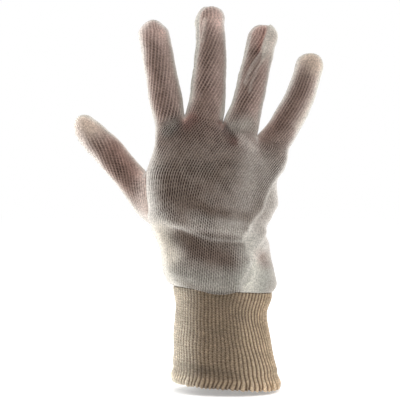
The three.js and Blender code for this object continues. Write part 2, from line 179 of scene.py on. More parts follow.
# How many degrees the wales of the front panel lean to the right, and how far apart they are, up the hand.
# Those of real work gloves are about 1.3 mm apart. Wales that fine would be lost between pixels of 0.7 mm, so
# they are drawn as far apart as they need to be to show.
FRONT_WALES = table(
    "z lean pitch",
    (66, 7, 1.62), (90, 5, 1.62), (110, 6, 1.6), (125, 10, 1.6), (138, 25, 1.75),
    (152, 36, 1.98), (168, 43, 2.15), (200, 45, 2.3),
)
BACK_WALES = table("z lean pitch", (66, 0, 1.8), (120, 0, 2.0), (200, 0, 2.2))
BACK_PITCH = 2.1  # between the wales of the back of the fingers
FUZZ = 0.25  # how far the nap stands off the cloth
WALE_MIDDLE = -6  # the place across the hand from which wales are counted
COURSE_TILT = 0.6  # how far the courses turn with leaning wales, where 1 keeps them square
TIP_WAY = 0.62  # the share of a tip's width by which its courses go on over the tip
THUMB_NEAR = 0.05  # how far below and above the thumb's root the hand is still eased into it

# Marks on the cloth, each along a line of points x, z in millimetres, seen from the front. Some are slack or
# thin cloth, and some are painted light and shade: the pale fold ridge, rims and tips are partly painted
# light, and the darker bands under folds and in creases and dents are painted shade. Side is -1 for the
# front alone, 1 for the back alone and 0 for the front and the rims beside it. Left and right are how far a
# mark reaches on each side of its line. Height lifts the cloth. Shade is how much darker the cloth looks, and
# stretch how much further its wales stand apart. Tint names a colour of the cloth that shows there, and
# tinted is its weight against the other tints.
Mark = namedtuple("Mark", "name side left right height shade stretch tint tinted line")
MARKS = [Mark(*row) for row in (
    # A painted highlight on the lifted fold ridge, lit from above, and painted shade in the band under it.
    ("wrist_fold", -1, 1.7, 1.4, 1.1, -0.34, -0.25, "cotton", 0.2,
     [(-55, 123.5), (-49, 120), (-38, 115.9), (-27.2, 111.6), (-18.6, 107.6), (-9.2, 104.6), (2, 104),
      (11.7, 103.7)]),
    ("under_fold", -1, 6.5, 7, -1.1, 0.4, 0.2, "blush", 0.1, [(-34, 105), (-22, 99), (-8, 94.5), (2, 92)]),
    ("fold_left", -1, 8, 8, 0, -0.1, -0.1, "cream", 0.35, [(-46, 110), (-38, 94)]),
    ("above_fold", -1, 5, 4, 0.4, -0.16, -0.1, "grey", 0.2, [(-20, 117), (-6, 115), (8, 112)]),
    # Painted shade in the dip of this band across the hand.
    ("hand_band", -1, 4, 4.5, -0.5, 0.24, 0.1, "blush", 0,
     [(-36, 138), (-27, 132.5), (-17.9, 127.7), (-9.2, 123.8), (4, 122.2), (13, 121.5)]),
    ("side_of_wrist", 0, 12, 12, 0, 0.42, 0, "grey", 0.5, [(26, 72), (32, 84)]),
    ("hand_bottom", -1, 9, 9, 0, -0.08, -0.3, "grey", 0.8, [(-36, 80), (-10, 77), (22, 78)]),
    ("wrist_right", -1, 9, 9, 0, -0.42, -0.6, "grey", 0.4, [(17, 101), (20, 88), (17, 72)]),
    # The hand's edge over the thumb is paler: partly slack cloth and partly painted rim light.
    ("thumb_side", -1, 8.5, 7, 0.5, -0.72, -0.25, "cotton", 0.3,
     [(-57, 153), (-57.5, 143), (-57, 134), (-52, 123), (-45, 112), (-38, 95)]),
    # Painted shade in the crease of this web, with a warm tint.
    ("middle_web", -1, 2.2, 3.2, -1.3, 0.8, 0.2, "blush", 0.9, [(-2, 187), (2, 181), (6.6, 175)]),
    ("ring_knuckle", -1, 6, 6, 1, -0.12, -0.2, "grey", 1.3, [(5, 184), (16, 186)]),
    ("ring_root", -1, 4.5, 4.5, 1.1, -0.35, -0.3, "cotton", 0.25, [(12, 176), (19, 170)]),
    # Painted shade in the crease of this web, with a warm tint.
    ("first_web", -1, 4, 4, -0.6, 0.16, 0, "blush", 1, [(-28, 186), (-24, 190)]),
    ("index_root", -1, 5, 5, 0.3, -0.2, -0.1, "grey", 1, [(-42, 182), (-37, 186)]),
    ("upper_hand", -1, 22, 16, 0, 0.27, 0.25, "grey", 0.1, [(-34, 180), (-32, 165), (-34, 145)]),
    ("outer_hand", -1, 11, 11, 0, -0.2, -0.5, "cotton", 0.1, [(20, 160), (14, 135), (8, 118)]),
    ("ring_flap", 0, 7, 0.8, 1.5, -0.34, -1.2, "grey", 1.8,
     [(31.5, 257.3), (30.4, 252.7), (28.2, 246.2), (27.2, 241)]),
    ("ring_streak", 0, 1.9, 1, 1.1, -0.32, -0.6, "grey", 0.6,
     [(27.2, 241), (23.9, 235.4), (20.3, 229.7), (17, 222.5), (14.5, 216)]),
    ("ring_streak_below", -1, 1.3, 0.9, 0.7, -0.25, -0.5, "grey", 0.4,
     [(27.5, 234), (23, 226), (19.5, 218), (17, 210)]),
    # Slight painted shade in the crease beside the flap, with a warm tint.
    ("ring_crease", -1, 0.8, 2.2, -0.9, 0.05, 0.1, "blush", 0.3,
     [(29.4, 256), (28.2, 250), (26, 244), (24, 238)]),
    ("middle_pleat", -1, 1.4, 1.4, 1, -0.5, -0.4, "grey", 0.6, [(-14.2, 262.1), (-15, 254.2), (-17, 246)]),
    # The tips are paler: partly looser cloth and partly painted light from above.
    ("index_tip", -1, 9, 9, 0, -0.5, -0.3, "blush", 0.1, [(-52, 256), (-48, 252)]),
    # These six rims along the digits are paler: partly slack cloth and partly painted rim light.
    ("middle_left", 0, 3, 3, 0.3, -0.5, -0.5, "grey", 0.6,
     [(-20, 264), (-22, 256), (-22, 240), (-23.5, 220), (-25, 205)]),
    ("index_left", 0, 3.5, 3.5, 0.3, -0.5, -0.5, "cotton", 0.8, [(-58, 260), (-63, 252), (-61.5, 240)]),
    ("thumb_left", 0, 3.5, 3.5, 0.2, -0.4, -0.6, "cotton", 0.6,
     [(-108, 192), (-107, 182), (-100, 170), (-92, 158)]),
    ("ring_left", 0, 3.5, 3.5, 0, -0.3, -0.3, "grey", 0.8, [(13, 244), (9, 226), (4, 208), (0, 196)]),
    ("little_left", 0, 5, 5, 0, -0.4, -0.35, "cotton", 0.4, [(53, 236), (46, 222), (39, 208), (31, 195)]),
    ("little_right", 0, 4, 4, 0, -0.36, -0.3, "grey", 0.8, [(72, 230), (69, 216), (61, 200), (53, 186)]),
    # The tips are paler: partly looser cloth and partly painted light from above.
    ("middle_tip", -1, 8, 8, 0, -0.5, -0.3, "blush", 0.1, [(-9, 265), (-6, 260)]),
    ("ring_tip", -1, 6, 6, 0, -0.44, -0.2, "blush", 0.2, [(24, 257), (25, 246)]),
    ("little_tip", -1, 10, 10, 0, -0.55, -0.55, "cream", 0.32, [(60, 236), (64, 232)]),
    ("thumb_tip", -1, 9, 9, 0, -0.46, -0.7, "cream", 0.3, [(-104, 190), (-98, 186)]),
    ("thumb_middle", -1, 8, 8, 0, 0.2, 0, "blush", 0.3, [(-80, 170), (-66, 152)]),
    ("little_root", -1, 7, 7, 0, 0.15, 0, "blush", 0.2, [(27, 177), (36, 190)]),
    ("wrist_crease", 0, 1.6, 2.4, 1, -0.2, -0.2, "cotton", 0.5, [(29, 100), (22, 93), (16, 86), (10, 72)]),
    # Painted shade in the dent at the side of the wrist, with a warm tint.
    ("wrist_dent", 0, 4.5, 4.5, -1, 0.36, 0, "blush", 0.4, [(25, 93), (28, 88)]),
    ("side_bulge", 1, 7, 7, 0.8, -0.1, 0, "cotton", 0, [(37, 133), (37, 126)]),
)]


# Places where slack cloth stands out further than the frame, or lies closer in, seen from the front.
NUDGES = table(
    "x z reach move_x move_z",
    (-62.5, 250.6, 8, -1.2, 0.3), (-44.5, 259.2, 5, -1.0, -1.2), (-104.5, 191, 6, -1.2, 1.0),
    (-94.9, 191.5, 4, -0.5, -0.6), (-107.9, 181.4, 5, 0.8, 0.3), (-101.4, 170, 5, -0.7, -0.7),
    (-63.2, 123.1, 12, -1.6, -1.4), (-77.6, 177.1, 8, 0.8, 0.8), (-0.6, 204.5, 14, 0.6, 0),
    (-27, 206, 8, 0.7, 0), (33.8, 240, 7, -0.6, 0), (-47, 260.5, 4, -0.5, -0.5), (-96, 193, 5, -0.4, -0.7),
    (-21.5, 244, 9, 1.2, 0), (-21.8, 260.6, 2.6, -1.2, 0), (-2, 267.8, 6, 0.5, 0.6),
    (36.9, 252.7, 6, 0.9, 0.2), (31.8, 226, 9, -0.6, 0), (11, 222.5, 12, -0.5, 0),
    (70, 226, 10, 0.5, -0.2), (38.3, 198.7, 9, -0.6, 0.4), (67, 236, 5, 0.5, 0.4), (52, 234.7, 4, 0.5, 0),
    (40.5, 152.6, 5, 0.9, 0), (30.4, 103.7, 5, -0.6, 0), (31.8, 60.5, 6, 1.0, 0), (-37.3, 68, 6, -1.2, 0),
    (37, 73.5, 4.5, 1.3, 0), (34, 67, 3, -0.7, 0),
)


# How dark the cloth of the front panel and of the back panel looks where it faces straight out, how far its
# wales are pulled apart there, and how much further where it faces the back. The darkness is partly thin
# cloth and partly painted shade of the faces turned straight out, which leaves the rims that turn away pale
# as painted rim light.
PANEL_LOOK = table("shade stretch stretch_behind", (0.74, 0.95, 0.5), (0.3, 0.3, 0.3))
# The second of these tones is the darkest the cloth is painted: partly thin cloth and partly painted shade.
CLOTH_TONES = ("cotton", "stretched_and_shaded", "blush", "grey", "cream")

# Ranges over which the look sets in. The first four are of how far the cloth faces straight out or backwards,
# the next two of the way along a digit, and the last two of height.
SHADED = (0.36, 1)
OPENED = (0.3, 0.9)
TINTED = (0.4, 0.9)
BEHIND = (0.1, 0.7)
DIGIT_ROOT = (0, 0.2)
DIGIT_TIP = (0.8, 1)
WARM_FROM = (150, 195)
BACK_SHADED_FROM = (60, 190)

# Where a digit's knit is pulled widest, as the middle and the width of a strip, and where it lies closer,
# both by how far the cloth faces right. A digit's cloth is stretched by this share of what the hand's is.
DIGIT_STRIP = (-0.25, 0.33)
DIGIT_RIGHT = (0, 0.5)
DIGIT_STRETCH = 0.74
EVEN_SHADE = 0.26
BACK_SHADE = 0.14


def lerp(a, b, share):
    return a + (b - a) * share


def smoothstep(value, low, high):
    share = np.clip((value - low) / (high - low), 0, 1)
    return share * share * (3 - 2 * share)


def hump(value, middle, width):
    """A soft hump, 1 high at its middle."""
    return np.exp(-(((value - middle) / width) ** 2))


def steps(count):
    return np.linspace(0, 1, count + 1)


def running_sum(slopes, spans):
    """The sum of slopes times spans up to each place, from 0."""
    return np.concatenate([[0], np.cumsum(slopes * spans)])


def value_at(rows, column, up):
    """The value of a table's column at a height, on a smooth curve through its rows."""
    places = rows["up"]
    values = rows[column]
    last = len(places) - 1
    up = min(max(up, places[0]), places[-1])
    high = min(max(int(np.searchsorted(places, up)), 1), last)
    low = high - 1
    slopes = []
    for k in (low, high):
        before = max(k - 1, 0)
        after = min(k + 1, last)
        slopes.append((values[after] - values[before]) / (places[after] - places[before]))
    span = places[high] - places[low]
    t = (up - places[low]) / span
    return (
        (2 * t**3 - 3 * t**2 + 1) * values[low] + (t**3 - 2 * t**2 + t) * span * slopes[0]
        + (3 * t**2 - 2 * t**3) * values[high] + (t**3 - t**2) * span * slopes[1]
    )


class Section:
    """A closed section of the glove, walked by arc length from its leftmost point over the front."""

    def __init__(self, left, right, front, back):
        angle = np.linspace(0, 2 * math.pi, SECTION_STEPS + 1)
        power = 2 / ROUNDNESS
        across = -np.sign(np.cos(angle)) * np.abs(np.cos(angle)) ** power
        deep = np.sign(np.sin(angle)) * np.abs(np.sin(angle)) ** power
        self.x = (left + right) / 2 + (right - left) / 2 * across
        self.y = -deep * np.where(deep > 0, front, back)
        self.lengths = running_sum(1, np.hypot(np.diff(self.x), np.diff(self.y)))
        self.total = self.lengths[-1]
        self.front_length = self.lengths[SECTION_STEPS // 2]

    def at(self, arc):
        wanted = np.mod(arc, self.total)
        return np.stack([np.interp(wanted, self.lengths, values) for values in (self.x, self.y)], -1)

    def outward(self, arc):
        step = self.total / 96
        along = self.at(arc + step) - self.at(arc - step)
        along /= np.linalg.norm(along, axis=-1, keepdims=True)
        return np.stack([along[..., 1], -along[..., 0]], -1)


def cuff_sizes(up):
    deep = value_at(CUFF_SECTIONS, "deep", up) * WRIST_DEPTH
    left = value_at(CUFF_SECTIONS, "left", up) * WRIST_WIDTH
    right = value_at(CUFF_SECTIONS, "right", up) * WRIST_WIDTH
    return left, right, deep, deep


def hand_section(up):
    """The hand's section at a height. Its lowest one is the top of the knit wrist."""
    rise = min(up / HAND_SECTIONS["up"][0], 1)
    hand = [value_at(HAND_SECTIONS, column, up) * HAND_WIDTH for column in ("left", "right")]
    hand += [value_at(HAND_SECTIONS, column, up) * PALM_DEPTH for column in ("front", "back")]
    section = Section(*[lerp(low, high, rise) for low, high in zip(cuff_sizes(1), hand)])
    section.slip_left = value_at(HAND_SECTIONS, "slip_left", up) * HAND_WIDTH
    section.slip_right = value_at(HAND_SECTIONS, "slip_right", up) * HAND_WIDTH
    return section


def web_point(i):
    return np.array([WEBS["across"][i] * HAND_WIDTH, 0, CUFF_HEIGHT + CUFF_GAP + WEBS["up"][i] * PALM_LENGTH])


def make_digit(i, root_left, root_right):
    """The frame of a digit: its root runs from one seam point to another, and its middle line to its tip."""
    digit = SimpleNamespace(**{name: values[i] for name, values in DIGITS.items()})
    for name in ("length", "bow", "curl"):
        setattr(digit, name, getattr(digit, name) * FINGER_LENGTH)
    for name in ("root_depth", "root_width", "mid_width", "tip_width"):
        setattr(digit, name, getattr(digit, name) * FINGER_WIDTH)
    lean = math.radians(digit.lean)
    digit.root = (root_left + root_right) / 2
    digit.root_half = (root_right - root_left) / 2
    digit.along = np.array([math.sin(lean), 0, math.cos(lean)])
    digit.across = np.array([math.cos(lean), 0, -math.sin(lean)])
    digit.straight = digit.length - digit.tip_width / 2
    return digit


def half_width(digit, share):
    low = lerp(digit.root_width, digit.mid_width, smoothstep(share, 0.15, 0.6))
    high = np.minimum(lerp(digit.mid_width, digit.tip_width, smoothstep(share, 0.6, 1)), digit.mid_width)
    return np.where(share < 0.5, low, high) / 2


def digit_points(digit, share, unit):
    """Points of a digit. Share runs from its root to where the tip rounds off, and unit is on a unit ball."""
    share = np.broadcast_to(np.asarray(share, float), unit.shape[:-1])
    settle = smoothstep(share, 0, 0.3)
    half = half_width(digit, share)
    depth = lerp(digit.root_depth / 2, half * FINGER_FLATNESS, settle)
    sideways = lerp(digit.root_half, digit.across * half[..., None], settle[..., None])
    turn = np.radians(digit.twist) * share
    x = unit[..., 0] * np.cos(turn) - unit[..., 1] * np.sin(turn)
    y = unit[..., 0] * np.sin(turn) + unit[..., 1] * np.cos(turn)
    out = share * digit.straight + unit[..., 2] * digit.tip_width / 2
    points = digit.root + out[..., None] * digit.along
    points = points + (digit.bow * np.sin(math.pi * share))[..., None] * digit.across
    points = points + sideways * x[..., None]
    points[..., 1] += y * depth + digit.curl * share * share
    return points


def ring_unit(side, angle):
    return np.stack([np.sin(angle), side * np.cos(angle), np.zeros_like(angle)], -1)


def tip_unit(side, angle, share):
    """The rounded tip, with the columns in place across it and ending on the seam over the tip."""
    corner = TIP_CORNER * share
    x = np.cos(corner) * np.sin(angle)
    radius = np.sqrt(np.maximum(1 - x * x, 0))
    middle = math.pi / 2 * share
    reach = np.where(radius > TINY, np.minimum(np.sin(corner) / np.maximum(radius, TINY), 1), 0)
    turn = middle + (math.pi / 2 - middle) * reach
    return np.stack([x, side * radius * np.cos(turn), radius * np.sin(turn)], -1)


FINGERS = [make_digit(i, web_point(i), web_point(i + 1)) for i in range(THUMB)]


def finger_of(column):
    return np.minimum((column * THUMB).astype(int), THUMB - 1)


def base_height(column):
    """Height of the finger bases over a column of the hand."""
    heights = np.array([web_point(i)[2] for i in range(THUMB + 1)])
    i = finger_of(column)
    return lerp(heights[i], heights[i + 1], column * THUMB - i)


def fold_lift(facing, x, z):
    """How far the frame's folds lift the cloth. Facing is the cloth's outward Y there."""
    lift = np.zeros_like(x)
    place = np.stack([x, z - CUFF_HEIGHT], -1)
    for side, from_x, from_z, to_x, to_z, height, reach in zip(*FRAME_FOLDS.values()):
        start = np.array([from_x * HAND_WIDTH, from_z * PALM_LENGTH])
        line = np.array([to_x * HAND_WIDTH, to_z * PALM_LENGTH]) - start
        share = np.clip((place - start) @ line / (line @ line), 0, 1)
        away = np.linalg.norm(place - start - share[..., None] * line, axis=-1) / (reach * PALM_DEPTH)
        lift += smoothstep(side * facing, 0, 0.6) * height * PALM_DEPTH * np.exp(-away * away)
    return lift


def hand_without_thumb(side, column, up):
    """A row of points of the glove's hand below the fingers, before the thumb is set in."""
    column = np.atleast_1d(np.asarray(column, float))
    section = hand_section(up)
    start = -section.slip_left
    front_arc = section.front_length - section.slip_right - start
    arc = start + front_arc * column if side < 0 else start - (section.total - front_arc) * column
    place = section.at(arc)
    low = CUFF_HEIGHT + CUFF_GAP - CUFF_TILT * place[:, 0]
    z = lerp(low, base_height(column), up)
    fade = smoothstep(up, 0, 0.1) * (1 - smoothstep(up, 0.9, 1))
    outward = section.outward(arc)
    place = place + outward * (fold_lift(outward[:, 1], place[:, 0], z) * fade)[:, None]
    below = (1 - up) * PALM_LENGTH
    if below >= KNUCKLE_BLEND:
        return np.stack([place[:, 0], place[:, 1], z], -1)
    i = finger_of(column)
    angle = (column * THUMB - i - 0.5) * math.pi
    roots = np.array([digit.root for digit in FINGERS])[i]
    halves = np.array([digit.root_half for digit in FINGERS])[i]
    own_depths = np.array([digit.root_depth for digit in FINGERS])
    base = roots + halves * np.sin(angle)[:, None]
    share = 1 - smoothstep(below, 0, KNUCKLE_BLEND)
    near = max(1 - below / WEB_RADIUS, 0)
    # Below the webs one finger's depth runs smoothly into the next one's.
    depths = lerp(np.interp(column * THUMB - 0.5, np.arange(THUMB), own_depths), own_depths[i], near**6)
    outer = ((i == 0) & (angle < 0)) | ((i == THUMB - 1) & (angle > 0))
    valley = np.where(outer, 1, np.sqrt(np.maximum(1 - (near * np.sin(angle)) ** 2, 0)))
    deep = side * depths / 2 * np.where(outer, np.cos(angle), 1)
    return np.stack([
        lerp(place[:, 0], base[:, 0], share),
        lerp(place[:, 1], deep, share) * valley,
        z + share * (base[:, 2] - base_height(column)),
    ], -1)


THUMB_DIGIT = make_digit(THUMB, *(hand_without_thumb(-1, 0, up)[0] for up in (THUMB_START, THUMB_END)))


def hand_row(side, column, up):
    """A row of points of the hand with the thumb's root set into its left side."""
    points = hand_without_thumb(side, column, up)
    place = (up - THUMB_START) / (THUMB_END - THUMB_START)
    if place < 0 or place > 1:
        return points
    seam = hand_without_thumb(side, 0, up)[0]
    root = digit_points(THUMB_DIGIT, 0, ring_unit(side, np.arcsin(np.array([2 * place - 1]))))[0]
    share = 1 - smoothstep(column, 0, THUMB_BLEND)
    middle = THUMB_DIGIT.root[1] + THUMB_DIGIT.root_half[1] * (2 * place - 1)
    line = lerp(seam[1], middle, share)
    deep = np.hypot(np.maximum(side * (points[:, 1] - seam[1]), 0), (root[1] - middle) * share)
    blended = np.stack([
        points[:, 0] + (root[0] - seam[0]) * share,
        line + side * deep,
        points[:, 2] + (root[2] - seam[2]) * share,
    ], -1)
    return np.where((column < THUMB_BLEND)[:, None], blended, points)


def arc_across(points):
    """Length along each row of a grid, from its first column."""
    lengths = np.linalg.norm(np.diff(points, axis=1), axis=-1)
    return np.concatenate([np.zeros((len(points), 1)), np.cumsum(lengths, axis=1)], axis=1)


def wale_shift(wales, z):
    """How far a wale has moved to the right at a height, from the leans of its table."""
    heights = np.linspace(wales["z"][0], wales["z"][-1], TABLE_STEPS)
    slopes = np.tan(np.radians(np.interp(heights, wales["z"], wales["lean"])))
    return np.interp(z, heights, running_sum((slopes[1:] + slopes[:-1]) / 2, np.diff(heights)))


def hand_grid(side, course):
    """The hand's grid of points with the wale and course at each. Its rows lie closer near its two ends."""
    low = steps(ROWS_BELOW_THUMB) ** 1.25 * THUMB_START
    middle = lerp(THUMB_START, THUMB_END, steps(THUMB_COLUMNS)[1:])
    high = lerp(THUMB_END, 1, 1 - (1 - steps(ROWS_ABOVE_THUMB)[1:]) ** 1.5)
    ups = np.concatenate([low, middle, high])
    columns = steps(FINGER_COLUMNS * THUMB)
    points = np.array([hand_row(side, columns, up) for up in ups])
    wales = FRONT_WALES if side < 0 else BACK_WALES
    arc = arc_across(points)
    inside = (columns > 0.15) & (columns < 0.85)
    middles = np.array([np.interp(WALE_MIDDLE, x[inside], s[inside]) for x, s in zip(points[..., 0], arc)])
    across = arc - middles[:, None]
    z = points[..., 2]
    pitch = np.interp(z, wales["z"], wales["pitch"])
    lean = np.tan(np.radians(np.interp(z, wales["z"], wales["lean"])))
    below = np.broadcast_to((1 - ups)[:, None] * PALM_LENGTH, z.shape)
    by_thumb = (ups > THUMB_START - THUMB_NEAR) & (ups < THUMB_END + THUMB_NEAR)
    beside = np.where(by_thumb, 0, FAR)[:, None] + arc
    return SimpleNamespace(
        side=side, part=-1, points=points, wale=(across - wale_shift(wales, z)) / pitch,
        course=(z + COURSE_TILT * lean * across) / course, share=0, root=np.minimum(below, beside),
    )


def finger_angle(column, share):
    return (column - 0.5) * math.pi


def thumb_angle(column, share):
    return lerp(np.arcsin(2 * column - 1), finger_angle(column, share), smoothstep(share, 0, 0.4))


def digit_grids(side, index, digit, base_wale, base_course, course):
    """A digit's straight part and its tip, with wales that start from those of the hand at its root."""
    angle_at = thumb_angle if index == THUMB else finger_angle
    pitch = digit.pitch if side < 0 else BACK_PITCH
    half = len(base_wale) // 2
    column = steps(len(base_wale) - 1)
    share = steps(FINGER_ROWS)
    angles = np.array([angle_at(column, s) for s in share])
    body = digit_points(digit, share[:, None], ring_unit(side, angles))
    tip_share = steps(TIP_ROWS)
    tip_angles = angle_at(column, 1)
    tip = np.array([digit_points(digit, 1, tip_unit(side, tip_angles, s)) for s in tip_share])
    tip_out = digit.straight + tip_share * digit.tip_width * TIP_WAY

    def slopes(place):
        """How far the wales run sideways for each millimetre out, at shares of the digit's straight part."""
        return np.tan(np.radians(lerp(digit.slant_low, digit.slant_high, np.clip(place * 1.2, 0, 1))))

    drift = running_sum(slopes((share[1:] + share[:-1]) / 2), np.diff(share) * digit.straight)
    tip_drift = drift[-1] + slopes(1) * (tip_out - digit.straight)
    grids = []
    for points, out, shifted, blend in (
        (body, share * digit.straight, drift, smoothstep(share, 0, 0.3)),
        (tip, tip_out, tip_drift, np.ones(TIP_ROWS + 1)),
    ):
        arc = arc_across(points)
        across = arc - arc[:, half][:, None]
        if points is tip:
            across = np.broadcast_to(across[0], across.shape)
        settled = base_wale[half] + (across - shifted[:, None]) / pitch
        carried = base_wale[None, :] - shifted[:, None] / pitch
        lines = base_course[half] + slopes(0.5) * COURSE_TILT * across / course
        far = np.broadcast_to(out[:, None] / digit.length, across.shape)
        grids.append(SimpleNamespace(
            side=side, part=index, points=points, wale=lerp(carried, settled, blend[:, None]),
            course=lerp(base_course[None, :], lines, blend[:, None]) + out[:, None] / course,
            share=far, root=far * digit.length,
        ))
    return grids


def make_grids(course):
    """All the grids of both panels."""
    grids = []
    for side in (-1, 1):
        hand = hand_grid(side, course)
        grids.append(hand)
        for i, digit in enumerate(FINGERS):
            part = slice(i * FINGER_COLUMNS, (i + 1) * FINGER_COLUMNS + 1)
            grids += digit_grids(side, i, digit, hand.wale[-1, part], hand.course[-1, part], course)
        part = slice(ROWS_BELOW_THUMB, ROWS_BELOW_THUMB + THUMB_COLUMNS + 1)
        grids += digit_grids(side, THUMB, THUMB_DIGIT, hand.wale[part, 0], hand.course[part, 0], course)
    return grids


def quads_between(number):
    """The quads between the rows and columns of a grid of point numbers."""
    corners = [number[:-1, :-1], number[:-1, 1:], number[1:, 1:], number[1:, :-1]]
    return np.stack(corners, -1).reshape(-1, 4)


def welded(points):
    """The first of the points at each place, and for each point the number of its place."""
    keys = np.round(points * 1e3).astype(np.int64)
    _, first, number = np.unique(keys, axis=0, return_index=True, return_inverse=True)
    return first, number.reshape(-1)


def unit_rows(values):
    return values / np.maximum(np.linalg.norm(values, axis=1, keepdims=True), TINY)


def point_normals(points, faces):
    """Smooth outward normals of points that quads join."""
    sums = np.zeros_like(points)
    a, b, c, d = (points[faces[:, k]] for k in range(4))
    for k in range(4):
        np.add.at(sums, faces[:, k], np.cross(c - a, d - b))
    return unit_rows(sums)


def joined_edges(faces):
    """Each pair of points that an edge joins, once."""
    pairs = np.concatenate([np.stack([faces[:, k], faces[:, (k + 1) % 4]], 1) for k in range(4)])
    pairs = np.unique(np.sort(pairs, axis=1), axis=0)
    return pairs[pairs[:, 0] != pairs[:, 1]]


def mean_beside(values, pairs):
    """For each point, the mean of a value at the points beside it."""
    count = np.bincount(pairs.ravel(), minlength=len(values))
    sums = [
        np.bincount(pairs[:, 0], column[pairs[:, 1]], len(values))
        + np.bincount(pairs[:, 1], column[pairs[:, 0]], len(values))
        for column in values.T
    ]
    return np.stack(sums, 1) / np.maximum(count, 1)[:, None]


def join_grids(grids):
    """All grids as one list of points with their fields, quads that face out, and coarse points."""
    for grid in grids:
        grid.coarse = np.zeros(grid.wale.shape, bool)
        grid.coarse[::INNER_STEP, ::INNER_STEP] = True
    starts = np.cumsum([0] + [grid.wale.size for grid in grids])
    numbers = [
        start + np.arange(grid.wale.size).reshape(grid.wale.shape) for grid, start in zip(grids, starts)
    ]
    faces = [quads_between(n)[:, :: -grid.side] for grid, n in zip(grids, numbers)]
    skin = SimpleNamespace(
        points=np.concatenate([grid.points.reshape(-1, 3) for grid in grids]),
        faces=np.concatenate(faces),
        face_side=np.concatenate([np.full(len(own), grid.side) for own, grid in zip(faces, grids)]),
        numbers={side: [n for grid, n in zip(grids, numbers) if grid.side == side] for side in (-1, 1)},
    )
    for name in ("wale", "course", "share", "root", "part", "side", "coarse"):
        values = [np.broadcast_to(getattr(grid, name), grid.wale.shape).ravel() for grid in grids]
        setattr(skin, name, np.concatenate(values))
    return skin


def path_distance(x, z, line):
    """Distance of points from a line of points, and on which side of it each lies."""
    best = np.full(x.shape, np.inf)
    side = np.zeros(x.shape)
    for (ax, az), (bx, bz) in zip(line[:-1], line[1:]):
        dx, dz = bx - ax, bz - az
        share = np.clip(((x - ax) * dx + (z - az) * dz) / (dx * dx + dz * dz), 0, 1)
        away = np.hypot(x - ax - share * dx, z - az - share * dz)
        turned = dx * (z - az) - dz * (x - ax)
        nearer = away < best
        best = np.where(nearer, away, best)
        side = np.where(nearer, turned, side)
    return best, side


def mark_weight(mark, points, normals):
    """How much of a mark each point has."""
    away, turned = path_distance(points[:, 0], points[:, 2], mark.line)
    toward = (mark.side or -1) * normals[:, 1]
    seen = smoothstep(toward, 0, 0.45) if mark.side else smoothstep(toward, -0.45, -0.1)
    return hump(away, 0, np.where(turned > 0, mark.left, mark.right)) * seen


def nudged(points):
    """Points with the nudges of the slack cloth."""
    moved = points.copy()
    for x, z, reach, move_x, move_z in zip(*NUDGES.values()):
        weight = np.exp(-((points[:, 0] - x) ** 2 + (points[:, 2] - z) ** 2) / reach**2)
        moved[:, 0] += move_x * weight
        moved[:, 2] += move_z * weight
    return moved


def wrinkles(points, size, seed):
    """Soft unevenness of the cloth from a few waves in random directions."""
    random = np.random.default_rng(seed)
    total = np.zeros(len(points))
    for _ in range(WAVES):
        way = random.normal(size=3)
        way /= np.linalg.norm(way)
        wave = size * random.uniform(0.6, 1.7)
        total += np.sin(points @ way * FULL_TURN / wave + random.uniform(0, FULL_TURN))
    return total / math.sqrt(WAVES)


def srgb(colour):
    """A colour typed as sRGB hex, in linear light."""
    values = [int(colour[i:i + 2], 16) / 255 for i in (1, 3, 5)]
    return [v / 12.92 if v <= 0.04045 else ((v + 0.055) / 1.055) ** 2.4 for v in values]


def pulled_digits(skin, normals, facing, shade, stretch):
    """The shade and stretch with the front's digits, whose knit is widest left of the middle."""
    for i, digit in enumerate([*FINGERS, THUMB_DIGIT]):
        across = normals @ digit.across
        own = (skin.side < 0) & (skin.part == i)
        strip = hump(across, *DIGIT_STRIP)
        right = smoothstep(across, *DIGIT_RIGHT)
        along = smoothstep(skin.share, *DIGIT_ROOT) * (1 - smoothstep(skin.share, *DIGIT_TIP))
        # The right half keeps its shade out towards the rim: partly thin cloth and partly painted shade, as
        # the light falls from the left.
        thin = digit.thinned * smoothstep(facing, 0.1, 0.7) * along
        shade = np.where(own & (across > 0), np.maximum(shade, thin), shade)
        shade = np.where(own, shade + (0.22 * strip - 0.1 * right) * along, shade)
        pulled = DIGIT_STRETCH * (stretch + (0.1 * strip - 0.4 * right) * along)
        stretch = np.where(own, pulled, stretch)
    return shade, stretch


